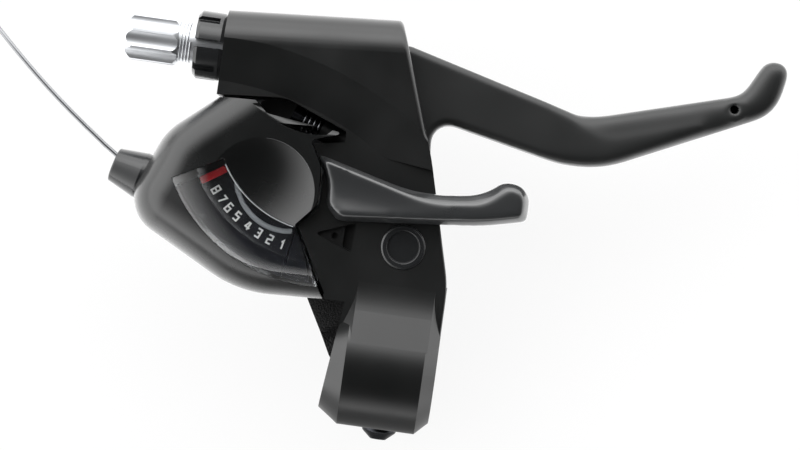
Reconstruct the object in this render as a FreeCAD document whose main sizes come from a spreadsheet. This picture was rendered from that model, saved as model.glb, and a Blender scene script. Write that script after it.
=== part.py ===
import FreeCAD, Part
import Sketcher
import math
import os
from FreeCAD import Placement, Rotation, Vector

# Right-hand brake and shift lever for a straight handlebar.
# Millimetres. Origin at the centre of the bar clamp: +X runs out along the bar, +Y forward, +Z up.

SIZES = {
    # bar clamp
    "bar_radius": 11.1, "clamp_wall": 4.65, "clamp_left": 15.7, "clamp_right": 12.7, "clamp_bevel": 3.2,
    "flare": 5.7, "flare_drop": 4.0, "flare_front": 12.1, "ramp_angle": 69.3, "ramp_bevel": 2.8,
    "ramp_blend": 20.0, "ramp_back": 58.7, "ramp_low": 26.5, "ear_width": 13.0, "ear_front": 9.5,
    "ear_rear": 16.2, "ear_below": 4.6, "ear_round": 4.0, "split_gap": 2.0, "bolt_offset": 0.8,
    "bolt_radius": 2.5, "bolt_wall": 2.2, "bolt_head_radius": 4.4, "bolt_head_height": 3.2,
    "nut_radius": 4.6, "nut_height": 4.0,
    # bracket
    "hood_left": 50.7, "hood_front": 83.2, "hood_flare": 3.4, "hood_right": 7.5, "hood_round": 8.5,
    "column_knee": 22.5, "column_round": 30.0, "edge_round": 1.4, "column_edge": 0.6, "panel_top": 13.0,
    "plate_top": 10.4, "under_side": 10.8, "crease_x": 50.9, "crease_y": 12.8, "crease_radius": 89.1,
    "crease_run": 11.0, "ledge_under": 2.4, "seam_gap": 0.3, "mark_depth": 1.8, "pocket_floor": 1.5,
    # brake lever
    "pivot_x": 1.0, "pivot_y": 43.0, "pin_radius": 2.5, "clip_radius": 3.8, "pin_below": 2.0,
    "boss_radius": 6.5, "bush_wall": 1.4, "lever_thick": 10.0, "slot_play": 0.4, "slot_wall": 2.9,
    "lever_arm_left": 14.0, "blade_bend_x": 41.0, "blade_bend_y": 68.9, "blade_tip_x": 91.0,
    "blade_tip_y": 90.6, "blade_round": 1.6, "finger_round": 2.9, "blade_step": 0.6, "tip_hole_radius": 1.1,
    "nipple_radius": 3.6,
    # brake cable adjuster
    "cable_line_y": 74.0, "cable_clear": 2.6, "thread_radius": 4.9, "thread_depth": 14.0,
    "adjuster_out": 25.7, "head_radius": 6.4, "head_length": 13.9, "flutes": 9, "flute_radius": 3.0,
    "flute_depth": 1.0, "housing_radius": 3.05, "housing_depth": 8.0, "wire_slot": 2.0, "wire_bore": 1.3,
    "lock_radius": 8.6, "lock_length": 7.2, "lock_gap": 0.3, "lock_grooves": 8, "lock_groove": 2.2,
    "lock_groove_depth": 1.2,
    # reach screw
    "reach_tip_x": 11.08, "reach_tip_y": 52.27, "reach_level": 3.2, "reach_turn": -20.5,
    "reach_radius": 2.0, "reach_head_radius": 2.5, "reach_head_length": 2.2, "reach_length": 21.8,
    "reach_spring_length": 5.6,
    # shift unit
    "axle_x": 36.2, "axle_y": 39.5, "axle_radius": 3.0, "pod_wall": 1.8, "cover_top": 16.0, "parting": 2.0,
    "lip_length": 25.6, "lip_radius": 4.6, "lip_level": 15.4, "lip_turn": -10.7, "pod_round": 9.0,
    "pod_right": 18.4, "dish_radius": 13.2, "dish_depth": 3.5, "plate_thick": 1.5, "dial_level": 8.0,
    "dial_thick": 0.8, "display_x": 22.1, "display_y": 59.0, "window_inner": 27.4, "window_outer": 41.2,
    "window_start": 208.0, "window_end": 292.0, "dial_end": 260.5, "window_wall": 1.6, "window_under": 10.4,
    "fit_gap": 0.1, "needle_angle": 212.8, "needle_inner": 27.8, "needle_outer": 35.0, "needle_width": 1.8,
    "needle_thick": 0.7, "run_gap": 0.3, "spin_gap": 0.05, "press_gap": 0.02, "wire_radius": 0.6,
    "spool_radius": 8.0, "spool_flange": 10.5, "spool_bottom": 2.0, "spool_top": 5.0, "wire_level": 1.5,
    "hub_radius": 5.2, "ratchet_root": 10.9, "ratchet_tip": 12.4, "ratchet_thick": 1.6, "ratchet_teeth": 18,
    "barrel_radius": 2.2, "barrel_length": 4.4, "thumb_angle": -52.0, "thumb_thick": 1.8,
    "thumb_width": 12.0, "thumb_ramp": 27.0, "thumb_reach": 56.0, "thumb_drop": 9.0, "pad_thick": 5.2,
    "pad_width": 15.0, "post_radius": 1.5, "post_ring": 16.6, "post_angle": -80.0, "thumb_travel": 38.0,
    "axle_nut_radius": 4.6, "axle_nut_height": 3.0, "release_x": 14.5, "release_y": 42.0,
    "release_shaft": 2.0, "release_under": 11.0, "release_thick": 4.9, "release_edge": 1.3,
    "hollow_radius": 16.0, "hollow_depth": 1.3, "stop_x": 23.6, "stop_y": 51.0, "cap_x": 0.4, "cap_y": 30.6,
    "cap_radius": 5.6, "cap_height": 1.8, "unit_bolt_radius": 2.5, "unit_head_radius": 4.2,
    "unit_head_height": 2.4, "outlet_wire_angle": 165.5, "outlet_base": 28.0, "outlet_length": 9.4,
    "outlet_base_radius": 5.9, "outlet_tip_radius": 4.3, "socket_radius": 2.8, "socket_depth": 7.0,
    "spring_wire": 0.9,
    # loose end of the shift wire
    "coil_x": 150.7, "coil_y": 84.6, "coil_radius": 14.6, "coil_half": 3.6,
}

doc = FreeCAD.newDocument("flat_bar_lever")
sheet = doc.addObject("Spreadsheet::Sheet", "sizes")
for row, (alias, value) in enumerate(SIZES.items(), start=1):
    sheet.set(f"A{row}", alias)
    sheet.set(f"B{row}", str(value))
    sheet.setAlias(f"B{row}", alias)
doc.recompute()


class Size:
    """A number together with the sheet formula that gives it, so that plain arithmetic stays bound."""

    def __init__(self, value, text):
        self.value = float(value)
        self.text = text

    def __add__(self, other):
        return Size(self.value + number(other), f"({self.text} + {formula(other)})")

    def __sub__(self, other):
        return Size(self.value - number(other), f"({self.text} - {formula(other)})")

    def __mul__(self, other):
        return Size(self.value * number(other), f"({self.text} * {formula(other)})")

    def __truediv__(self, other):
        return Size(self.value / number(other), f"({self.text} / {formula(other)})")

    def __neg__(self):
        return Size(-self.value, f"(0 - {self.text})")

    __radd__ = __add__
    __rmul__ = __mul__

    def __rsub__(self, other):
        return Size(other - self.value, f"({formula(other)} - {self.text})")


def number(size):
    return size.value if isinstance(size, Size) else float(size)


def formula(size):
    return size.text if isinstance(size, Size) else f"({float(size):.6f})"


class Sizes:
    def __getattr__(self, alias):
        return Size(SIZES[alias], f"sizes.{alias}")


s = Sizes()


def cosd(angle):
    return Size(math.cos(math.radians(number(angle))), f"cos({formula(angle)} * 1 deg)")


def sind(angle):
    return Size(math.sin(math.radians(number(angle))), f"sin({formula(angle)} * 1 deg)")


def toward(angle):
    """Lays a piece that was made upright down along a level direction."""
    return Rotation(Vector(0, 0, 1), Vector(number(cosd(angle)), number(sind(angle)), 0))


def bind(target, prop, size):
    setattr(target, prop, number(size))
    if isinstance(size, Size):
        target.setExpression(prop, size.text)


def place(target, x=0.0, y=0.0, z=0.0, rotation=Rotation()):
    target.Placement = Placement(Vector(number(x), number(y), number(z)), rotation)
    for axis, size in zip("xyz", (x, y, z)):
        if isinstance(size, Size):
            target.setExpression(f"Placement.Base.{axis}", size.text)


def unit(x, y):
    length = math.hypot(x, y)
    return x / length, y / length


def corner_frame(corners, i):
    """Directions from corner i to its two neighbours, and whether the outline turns left there."""
    x, y = (number(c) for c in corners[i][:2])
    back = unit(number(corners[i - 1][0]) - x, number(corners[i - 1][1]) - y)
    ahead_corner = corners[(i + 1) % len(corners)]
    ahead = unit(number(ahead_corner[0]) - x, number(ahead_corner[1]) - y)
    return x, y, back, ahead, back[1] * ahead[0] - back[0] * ahead[1] > 0


def inset(corners, wall):
    """The same outline moved inwards by a wall; corners run counter-clockwise."""
    moved = []
    for i, corner in enumerate(corners):
        x, y, back, ahead, left = corner_frame(corners, i)
        into, out_of = (-back[0], -back[1]), ahead
        cross = into[0] * out_of[1] - into[1] * out_of[0]
        normal_in, normal_out = (-into[1], into[0]), (-out_of[1], out_of[0])
        apart = normal_out[0] - normal_in[0], normal_out[1] - normal_in[1]
        along = (apart[0] * out_of[0] + apart[1] * out_of[1]) / -cross
        kx = normal_in[0] - into[0] * along
        ky = normal_in[1] - into[1] * along
        radius = corner[2] - wall if left else corner[2] + wall
        if number(radius) < 0.3:
            radius = 0
        moved.append((corner[0] + kx * wall, corner[1] + ky * wall, radius))
    return moved


class Piece:
    """A body that is built up feature by feature."""

    def __init__(self, label):
        self.body = doc.addObject("PartDesign::Body", label)
        self.body.Label = label
        self.planes = {f.Role: f for f in self.body.Origin.OriginFeatures}
        self.count = 0

    def feature(self, kind):
        self.count += 1
        return self.body.newObject(kind, f"{self.body.Label}_{self.count}")

    def sketch(self, plane="XY_Plane", level=0.0, across=0.0, up=0.0):
        sketch = self.feature("Sketcher::SketchObject")
        sketch.AttachmentSupport = [(self.planes[plane], "")]
        sketch.MapMode = "FlatFace"
        sketch.AttachmentOffset = Placement(Vector(number(across), number(up), number(level)), Rotation())
        for axis, size in zip("xyz", (across, up, level)):
            if isinstance(size, Size):
                sketch.setExpression(f"AttachmentOffset.Base.{axis}", size.text)
        return sketch

    def draw(self, sketch, shapes):
        """Each shape is a circle (x, y, radius), a ring sector or a list of corners (x, y, radius)."""
        for shape in shapes:
            if isinstance(shape, tuple) and len(shape) == 3:
                draw_circle(sketch, *shape)
            elif isinstance(shape, tuple):
                draw_sector(sketch, *shape)
            else:
                draw_outline(sketch, shape)

    def extrude(self, kind, shapes, length, plane, level):
        sketch = self.sketch(plane, level)
        self.draw(sketch, shapes)
        feature = self.feature(f"PartDesign::{kind}")
        feature.Profile = sketch
        bind(feature, "Length", length)
        return feature

    def pad(self, *shapes, length, plane="XY_Plane", level=0.0):
        return self.extrude("Pad", shapes, length, plane, level)

    def cut(self, *shapes, length, plane="XY_Plane", level=0.0):
        """Cuts from the level towards the plane's back."""
        before = self.volume()
        feature = self.extrude("Pocket", shapes, length, plane, level)
        if self.volume() > before - 1e-6:
            raise RuntimeError(f"{feature.Label} cuts nothing")
        return feature

    def turn(self, corners, kind="Revolution", axis="V_Axis", plane="XZ_Plane", **where):
        sketch = self.sketch(plane, **where)
        draw_outline(sketch, corners)
        feature = self.feature(f"PartDesign::{kind}")
        feature.Profile = sketch
        feature.ReferenceAxis = (sketch, [axis])
        feature.Angle = 360
        return feature

    def edges(self, pick):
        doc.recompute()
        base = self.body.Tip
        return base, [f"Edge{i}" for i, edge in enumerate(base.Shape.Edges, 1) if pick(edge)]

    def dress(self, kind, prop, size, pick):
        base, names = self.edges(pick)
        if not names:
            raise RuntimeError(f"no edges for {kind} on {self.body.Label}")
        feature = self.feature(f"PartDesign::{kind}")
        feature.Base = (base, names)
        bind(feature, prop, size)
        return feature

    def fillet(self, radius, pick):
        return self.dress("Fillet", "Radius", radius, pick)

    def chamfer(self, size, pick):
        return self.dress("Chamfer", "Size", size, pick)

    def loft(self, lower, upper, level, top):
        """Straight sides from one outline up to another with as many corners."""
        first = self.sketch("XY_Plane", level=level)
        draw_outline(first, lower)
        last = self.sketch("XY_Plane", level=top)
        draw_outline(last, upper)
        feature = self.feature("PartDesign::AdditiveLoft")
        feature.Profile = first
        feature.Sections = [last]
        feature.Ruled = True
        return feature

    def polar(self, feature, count):
        doc.recompute()
        pattern = self.feature("PartDesign::PolarPattern")
        pattern.Originals = [feature]
        pattern.Axis = (self.planes["Z_Axis"], [""])
        pattern.Angle = 360
        pattern.Occurrences = int(number(count))
        self.body.Tip = pattern
        return pattern

    def volume(self):
        doc.recompute()
        return self.body.Shape.Volume


def draw_circle(sketch, x, y, radius):
    circle = sketch.addGeometry(Part.Circle(Vector(number(x), number(y), 0), Vector(0, 0, 1),
                                            number(radius)), False)
    constrain(sketch, [("DistanceX", circle, 3, x), ("DistanceY", circle, 3, y), ("Radius", circle, radius)])


def constrain(sketch, rules):
    """Adds the rules together; a rule that ends in a Size stays bound to it."""
    made = [Sketcher.Constraint(*[number(p) if isinstance(p, Size) else p for p in rule]) for rule in rules]
    first = sketch.ConstraintCount
    sketch.addConstraint(made)
    for i, rule in enumerate(rules):
        if isinstance(rule[-1], Size):
            sketch.setExpression(f"Constraints[{first + i}]", rule[-1].text)


def draw_outline(sketch, corners):
    """Closed outline of straight sides; each corner is given by its sharp point and its radius."""
    count = len(corners)
    starts, ends, arcs = [], [], []
    for i, corner in enumerate(corners):
        x, y, back, ahead, left = corner_frame(corners, i)
        half = math.acos(max(-1.0, min(1.0, back[0] * ahead[0] + back[1] * ahead[1]))) / 2
        radius = number(corner[2])
        run = radius / math.tan(half)
        ends.append(Vector(x + back[0] * run, y + back[1] * run, 0))
        starts.append(Vector(x + ahead[0] * run, y + ahead[1] * run, 0))
        middle = unit(back[0] + ahead[0], back[1] + ahead[1]) if radius else (0, 0)
        centre = Vector(x, y, 0) + Vector(*middle, 0) * (radius / math.sin(half))
        arcs.append((centre, radius, left))
    lines = sketch.addGeometry([Part.LineSegment(starts[i], ends[(i + 1) % count]) for i in range(count)],
                               False)
    rules = []
    for i, (x, y, radius) in enumerate(corners):
        before, after = lines[i - 1], lines[i]
        centre, size, left = arcs[i]
        if not size:
            rules.append(("Coincident", before, 2, after, 1))
            rules.append(("DistanceX", after, 1, x))
            rules.append(("DistanceY", after, 1, y))
            continue
        first, last = (ends[i], starts[i]) if left else (starts[i], ends[i])
        angles = [math.atan2(p.y - centre.y, p.x - centre.x) for p in (first, last)]
        circle = Part.Circle(centre, Vector(0, 0, 1), size)
        arc = sketch.addGeometry(Part.ArcOfCircle(circle, *angles), False)
        point = sketch.addGeometry(Part.Point(Vector(number(x), number(y), 0)), True)
        rules.append(("Tangent", before, 2, arc, 1 if left else 2))
        rules.append(("Tangent", after, 1, arc, 2 if left else 1))
        rules.append(("PointOnObject", point, 1, before))
        rules.append(("PointOnObject", point, 1, after))
        rules.append(("DistanceX", point, 1, x))
        rules.append(("DistanceY", point, 1, y))
        rules.append(("Radius", arc, radius))
    constrain(sketch, rules)


def draw_sector(sketch, x, y, inner, outer, start, end):
    """Part of a flat ring between two radii and two angles in degrees."""
    centre = Vector(number(x), number(y), 0)
    angles = [math.radians(number(a)) for a in (start, end)]
    arcs = []
    for radius in (inner, outer):
        circle = Part.Circle(centre, Vector(0, 0, 1), number(radius))
        arcs.append(sketch.addGeometry(Part.ArcOfCircle(circle, *angles), False))
    rules = [("DistanceX", arcs[0], 3, x), ("DistanceY", arcs[0], 3, y),
             ("Coincident", arcs[0], 3, arcs[1], 3), ("Radius", arcs[0], inner), ("Radius", arcs[1], outer)]
    for end_point, angle in zip((1, 2), angles):
        ray = Vector(math.cos(angle), math.sin(angle), 0)
        points = [centre + ray * number(radius) for radius in (inner, outer)]
        line = sketch.addGeometry(Part.LineSegment(*points), False)
        rules.append(("Coincident", line, 1, arcs[0], end_point))
        rules.append(("Coincident", line, 2, arcs[1], end_point))
        rules.append(("Angle", line, math.remainder(angle, 2 * math.pi)))
    constrain(sketch, rules)


def level_edges(z, where=lambda c: True):
    """Picks the edges that lie flat at one height."""
    def pick(edge):
        box = edge.BoundBox
        flat = abs(box.ZMin - number(z)) < 1e-4 and abs(box.ZMax - number(z)) < 1e-4
        return flat and where(edge.CenterOfMass)
    return pick


def face_edges(level):
    """Picks the edges at both faces of a plate that lies evenly about the zero level."""
    top, bottom = level_edges(level), level_edges(-level)
    return lambda edge: top(edge) or bottom(edge)


def hexagon(radius, x=0.0, y=0.0):
    """Corners of a nut or of its seat."""
    return [(x + radius * math.cos(math.radians(60 * k)), y + radius * math.sin(math.radians(60 * k)), 0)
            for k in range(6)]


def rectangle(left, low, right, high):
    return [(left, low, 0), (right, low, 0), (right, high, 0), (left, high, 0)]


PARTS = []


def keep(piece, label=None):
    target = piece.body if isinstance(piece, Piece) else piece
    if label:
        target.Label = label
    PARTS.append(target)
    return target


def boolean(kind, base, tool, label):
    result = doc.addObject(f"Part::{kind}", label)
    result.Base = base.body if isinstance(base, Piece) else base
    result.Tool = tool.body if isinstance(tool, Piece) else tool
    result.Label = label
    return result


# Shared positions
clamp_radius = s.bar_radius + s.clamp_wall
bolt_level = -(s.bar_radius + s.bolt_wall + s.bolt_radius)
pivot = (-s.pivot_x, s.pivot_y)
axle = (-s.axle_x, s.axle_y)
display = (-s.display_x, s.display_y)
release = (-s.release_x, s.release_y)
stop = (-s.stop_x, s.stop_y)
half_slot = s.lever_thick / 2 + s.slot_play


def from_axle(x, y, radius=0):
    return axle[0] + x, axle[1] + y, radius


# Outline of the shift unit: rounded nose at the left, flat side against the bracket at the right
POD_LEFT = [from_axle(-14.1, 21.7), from_axle(-25.8, 11.5, 16), from_axle(-34.2, -9.2, 9.6),
            from_axle(-2.8, -25.6, 30)]
POD_FRONT = [from_axle(s.pod_right, 16.9, 0.4), from_axle(-1.3, 19.2, 2), from_axle(-4.4, 22.0, 0.5)]
case_outline = POD_LEFT + [from_axle(s.pod_right, -24.5)] + POD_FRONT
cover_outline = POD_LEFT + [from_axle(18.5, -24.5), from_axle(9.3, -7.1, 0.8), from_axle(14.2, -1.5, 5),
                            from_axle(13.8, 8.0, 6), from_axle(10.3, 14.1, 1)] + POD_FRONT
gap = s.seam_gap


def right_edge(edge):
    """Top edge of the hood along its right side."""
    beside = edge.CenterOfMass.x > -number(s.hood_right)
    return beside and edge.Length > 5 and level_edges(s.panel_top)(edge)


# Bracket: hood, column and bar clamp in one moulding
bracket = Piece("bracket_block")
pod_face = axle[0] + s.pod_right + gap
bracket.pad([(-s.hood_left, s.hood_front, 0), (-s.hood_left, axle[1] + 22.3, 0), from_axle(2.7, 23.8, 10),
             (pod_face, axle[1] + 17.6, 1), (pod_face, 15.2, 0.8), (-s.clamp_left, 15.2, 0),
             (-s.clamp_left, 4, 0), (s.clamp_right, 4, 0), (s.clamp_right, s.column_knee, s.column_round),
             (4.4, 53.0, 80), (-s.hood_right, s.hood_front + s.hood_flare, 0)],
            length=s.panel_top + s.under_side, level=-s.under_side)
bracket.fillet(s.hood_round, level_edges(s.panel_top, lambda c: c.y > 80))
bracket.turn([(0, s.plate_top, 0), (s.crease_radius - s.crease_run, s.plate_top, 0),
              (s.crease_radius, s.panel_top, 0), (s.crease_radius, s.panel_top + 9, 0),
              (0, s.panel_top + 9, 0)], kind="Groove", across=-s.crease_x, level=s.crease_y)
bracket.fillet(s.column_edge, level_edges(s.plate_top, lambda c: c.x > 3))
# ledge beside the cover and floor of the reach-screw pocket
bracket.pad([(pod_face + 1, 15.2, 0), (pod_face + 1, axle[1] + 15, 0), from_axle(11.2, 13.6, 0),
             from_axle(14.4, 8.4, 5), from_axle(14.8, -1.7, 5), from_axle(9.9, -7.2, 0),
             from_axle(19.4, -24.1, 0)], length=s.plate_top - s.ledge_under, level=s.ledge_under)
bracket.pad([from_axle(-4.3, 22.35, 0.4), from_axle(-1.1, 19.45, 2), (pod_face, axle[1] + 17.2, 0),
             (pod_face + 2, axle[1] + 17.2, 0), from_axle(2.7, 25, 0)],
            length=s.under_side - s.pocket_floor, level=-s.under_side)
bracket.turn([(-s.clamp_left, s.bar_radius - 2, 0), (s.clamp_right, s.bar_radius - 2, 0),
              (s.clamp_right, clamp_radius - s.clamp_bevel, 0),
              (s.clamp_right - s.clamp_bevel, clamp_radius, 0), (s.flare - s.clamp_left, clamp_radius, 0),
              (-s.clamp_left, clamp_radius - s.flare_drop, 0)], axis="H_Axis")
bracket.cut([(-s.clamp_left - 9, -clamp_radius - 1, 0), (-s.clamp_left, -clamp_radius - 1, 0),
             (-s.flare_front, clamp_radius - 0.55, 0), (-s.clamp_left - 9, clamp_radius - 0.55, 0)],
            length=clamp_radius * 2 + 2, level=clamp_radius + 1)
ear_bottom = bolt_level - s.ear_below
bracket.pad([(-s.ear_rear, -s.bar_radius / 2, 0), (-s.ear_rear, ear_bottom, s.ear_round),
             (s.ear_front, ear_bottom, s.ear_round), (s.ear_front, -s.bar_radius / 2, 0)],
            length=s.ear_width, plane="YZ_Plane", level=s.bolt_offset - s.ear_width / 2)
bracket.cut((0, 0, s.bar_radius), length=s.clamp_left + s.clamp_right, plane="YZ_Plane", level=s.clamp_right)
bracket.cut(rectangle(-s.clamp_left - 1, -s.split_gap / 2, s.clamp_right + 1, s.split_gap / 2),
            length=s.bar_radius * 2, level=-s.bar_radius / 2)
bracket.cut((s.bolt_offset, bolt_level, s.bolt_radius + s.spin_gap), length=s.ear_front + s.ear_rear + 2,
            plane="XZ_Plane", level=s.ear_rear + 1)
bracket.cut(hexagon(s.nut_radius + s.spin_gap, s.bolt_offset, bolt_level),
            length=s.nut_height + 5, plane="XZ_Plane", level=s.nut_height - s.ear_front)
# slot for the brake lever, open to the right
bracket.cut([(pivot[0] - s.boss_radius - 2.4, pivot[1] - s.boss_radius - 0.8, s.boss_radius),
             (pivot[0] + s.boss_radius, pivot[1] - s.boss_radius - 0.8, 0), (45, pivot[1] - 1, 0),
             (45, s.hood_front + s.hood_flare - s.slot_wall, 0),
             (-s.lever_arm_left - 1.2, s.hood_front + s.hood_flare - s.slot_wall, 2),
             (-s.lever_arm_left - 1.2, pivot[1] + 26, 4), (pivot[0] - s.boss_radius - 2.4, pivot[1] + 3, 3)],
            length=half_slot * 2, level=half_slot)
bracket.cut((*pivot, s.pin_radius + s.spin_gap), length=s.plate_top + s.under_side,
            level=s.plate_top - s.pin_below)
# brake cable: threaded bore, channel and slip-in slot below
bracket.cut((s.cable_line_y, 0, s.thread_radius + s.spin_gap), length=s.thread_depth, plane="YZ_Plane",
            level=s.thread_depth - s.hood_left)
bracket.cut((s.cable_line_y, 0, s.cable_clear), length=s.hood_left - s.lever_arm_left, plane="YZ_Plane",
            level=-s.lever_arm_left)
slot_low, slot_high = s.cable_line_y - s.wire_slot / 2, s.cable_line_y + s.wire_slot / 2
bracket.cut(rectangle(-s.hood_left - 1, slot_low, -s.lever_arm_left, slot_high), length=s.under_side + 1,
            level=0.0)
# release shaft bearing, pocket below it, unit bolt with its cap, and the small marking pocket
bay_top = -(s.under_side - 8.4)
bracket.cut([(pod_face - 1, 34, 0), (release[0] + 3.4, 34, 1), (release[0] + 3.4, 49, 1),
             (pod_face - 1, 49, 0)], length=s.under_side, level=bay_top)
bracket.cut((*release, s.release_shaft + s.spin_gap), length=s.plate_top + s.under_side,
            level=s.plate_top + 0.5)
bracket.cut((s.cap_x, s.cap_y, s.cap_radius + s.fit_gap),
            length=s.cap_height + s.unit_head_height, level=s.plate_top + 0.4)
bracket.cut((s.cap_x, s.cap_y, s.unit_bolt_radius + s.spin_gap),
            length=s.plate_top + s.under_side + 2, level=s.plate_top + 0.4)
bracket.cut([(-21.9, 31.1, 0.5), (-12.3, 27.4, 0.3), (-11.9, 35.0, 0.3)], length=s.mark_depth,
            level=s.plate_top)
bracket.cut([(-14.6, 28.6, 0.3), (-12.3, 27.7, 0.3), (-11.9, 34.6, 0.3), (-14.5, 33.9, 0.3)],
            length=s.mark_depth * 2.2, level=s.plate_top)
bracket.cut((-16.8, 31.0, 0.8), length=s.mark_depth * 2.2, level=s.plate_top)
bracket.cut([(pod_face + 1, 16.5, 0), (25, 16.5, 0), (25, 48, 0), (pod_face + 1, 53, 0)],
            length=s.panel_top - s.plate_top + 1, level=s.panel_top + 1)
bracket.fillet(s.edge_round, right_edge)


def turned(label, corners, x=0.0, y=0.0, z=0.0, rotation=Rotation()):
    """A round piece: profile (radius, height) turned about its own axis, then placed."""
    piece = Piece(label)
    piece.turn(corners)
    place(piece.body, x, y, z, rotation)
    return piece


def coil(label, radius, wire, pitch, height, x, y, z, rotation=Rotation()):
    """A round-wire coil spring of half rings, each tilted so that it climbs half a pitch to the next one."""
    rise = number(pitch) / 4
    tilt = math.degrees(math.atan2(rise, number(radius)))
    slant = Size(math.hypot(number(radius), rise),
                 f"sqrt({formula(radius)} ^ 2 + ({formula(pitch)} / 4) ^ 2)")
    halves = []
    for k in range(max(2, round(2 * number(height) / number(pitch)))):
        half = doc.addObject("Part::Torus", f"{label}_half_{k}")
        bind(half, "Radius1", slant)
        bind(half, "Radius2", wire / 2)
        half.Angle3 = 180
        turn = Rotation(Vector(0, 1, 0), tilt) if k % 2 == 0 else (
            Rotation(Vector(0, 1, 0), -tilt) * Rotation(Vector(0, 0, 1), 180))
        place(half, 0, 0, pitch * (k / 2 + 0.25), turn)
        halves.append(half)
    spring = doc.addObject("Part::MultiFuse", label)
    spring.Shapes = halves
    spring.Label = label
    place(spring, x, y, z, rotation)
    return keep(spring)


# Reach screw: its threaded boss on the bracket, the screw and the spring under its head
reach_way = toward(s.reach_turn)
reach_x, reach_y = cosd(s.reach_turn), sind(s.reach_turn)
reach_head = (-s.reach_tip_x - s.reach_length * reach_x, s.reach_tip_y - s.reach_length * reach_y,
              s.reach_level)


def along_reach(distance):
    return reach_head[0] + distance * reach_x, reach_head[1] + distance * reach_y, reach_head[2]


boss = doc.addObject("Part::Cylinder", "reach_boss")
bind(boss, "Radius", s.reach_radius + 0.9)
boss_start = s.reach_head_length + s.reach_spring_length + 0.3
bind(boss, "Height", s.reach_length - boss_start - 3)
place(boss, *along_reach(boss_start), reach_way)
hole = doc.addObject("Part::Cylinder", "reach_hole")
bind(hole, "Radius", s.reach_radius + s.spin_gap)
bind(hole, "Height", s.reach_length + 4)
place(hole, *along_reach(boss_start - 1), reach_way)
room = doc.addObject("Part::Cylinder", "reach_room")
bind(room, "Radius", s.reach_radius + 1.3)
bind(room, "Height", boss_start + 1)
place(room, *along_reach(-1.0), reach_way)
ramp = Piece("clamp_ramp")
ramp_foot = (clamp_radius - s.plate_top * sind(s.ramp_angle)) / cosd(s.ramp_angle)
ramp_head = (clamp_radius * cosd(s.ramp_angle), clamp_radius * sind(s.ramp_angle))
ramp_inner = clamp_radius - 2.3
ramp_start = ramp_foot + s.ramp_blend / 4
ramp.pad([(ramp_start, s.plate_top - 4.4, 0), (ramp_start, s.plate_top, 0),
          (ramp_foot, s.plate_top, s.ramp_blend), (*ramp_head, 0),
          (ramp_inner * cosd(s.ramp_back), ramp_inner * sind(s.ramp_back), 0),
          (ramp_inner * cosd(s.ramp_low), ramp_inner * sind(s.ramp_low), 0)],
         length=s.flare_front + s.clamp_right, plane="YZ_Plane", level=-s.flare_front)
ramp_line = Vector(0, number(sind(s.ramp_angle)), -number(cosd(s.ramp_angle)))
ramp.chamfer(s.ramp_bevel, lambda edge: abs(edge.tangentAt(edge.FirstParameter).dot(ramp_line)) > 0.999)
ramped = boolean("Fuse", bracket, ramp, "bracket_ramped")
cleared = boolean("Cut", ramped, room, "bracket_cleared")
keep(boolean("Cut", boolean("Fuse", cleared, boss, "bracket_with_boss"), hole, "bracket"), "bracket")
keep(turned("reach_screw", [
    (0, 0, 0), (s.reach_head_radius, 0, 0), (s.reach_head_radius, s.reach_head_length, 0),
    (s.reach_radius, s.reach_head_length, 0), (s.reach_radius, s.reach_length, 0.5), (0, s.reach_length, 0)],
    *reach_head, reach_way))
coil("reach_spring", s.reach_radius + s.spring_wire / 2 + 0.1, s.spring_wire * 0.8, 1.3,
     s.reach_spring_length - 1.2, *along_reach(s.reach_head_length + 0.6), reach_way)

# Clamp bolt and nut
into_clamp = Rotation(Vector(0, 0, 1), Vector(0, 1, 0))
clamp_bolt = turned("clamp_bolt", [
    (0, -s.bolt_head_height, 0), (s.bolt_head_radius * 0.45, -s.bolt_head_height, 0),
    (s.bolt_head_radius, -s.bolt_head_height * 0.35, 1.0), (s.bolt_head_radius, 0, 0), (s.bolt_radius, 0, 0),
    (s.bolt_radius, s.ear_front + s.ear_rear - 0.5, 0.5), (0, s.ear_front + s.ear_rear - 0.5, 0)],
    s.bolt_offset, -s.ear_rear, bolt_level, into_clamp)
keep(clamp_bolt)
clamp_nut = Piece("clamp_nut")
clamp_nut.pad(hexagon(s.nut_radius), (0, 0, s.bolt_radius + s.press_gap), length=s.nut_height)
place(clamp_nut.body, s.bolt_offset, s.ear_front - s.nut_height, bolt_level, into_clamp)
keep(clamp_nut)

# Brake lever, its bush and pivot pin
nipple_x = 4.8 - s.lever_arm_left
bend = (s.blade_bend_x, s.blade_bend_y)
tip = (s.blade_tip_x, s.blade_tip_y)
root = Piece("lever_root")
root.pad([(pivot[0] - s.boss_radius, pivot[1] - s.boss_radius, s.boss_radius - 0.2),
          (pivot[0] + s.boss_radius, pivot[1] - s.boss_radius, s.boss_radius - 0.2), (3.2, 63.5, 4.5),
          (bend[0] + 2.2, bend[1] - 13.6, 28), (tip[0] - 18.4, tip[1] - 20.7, 1.2),
          (tip[0] - 19.0, tip[1] - 17.2, 1.2), (bend[0] + 5.4, bend[1] - 3.6, 8),
          (bend[0] - 2.6, bend[1] + 0.7, 1.2), (-5, 80.8, 2), (-s.lever_arm_left, 79, 2),
          (-s.lever_arm_left, 67.5, 4), (pivot[0] - s.boss_radius - 1.5, pivot[1] + 7, 6)],
         length=s.lever_thick, level=-s.lever_thick / 2)
root.fillet(s.blade_round, face_edges(s.lever_thick / 2))
bush_radius = s.pin_radius + s.bush_wall
root.cut((*pivot, bush_radius + s.press_gap), length=s.lever_thick + 2, level=s.lever_thick / 2 + 1)
root.cut((nipple_x, s.cable_line_y, s.nipple_radius), length=s.lever_thick + 2, level=s.lever_thick / 2 + 1)
root.cut(rectangle(-s.lever_arm_left - 2, slot_low, nipple_x, slot_high),
         length=s.lever_thick + 2, level=s.lever_thick / 2 + 1)
blade = Piece("lever_blade")
half_blade = s.lever_thick / 2 - s.blade_step
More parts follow.
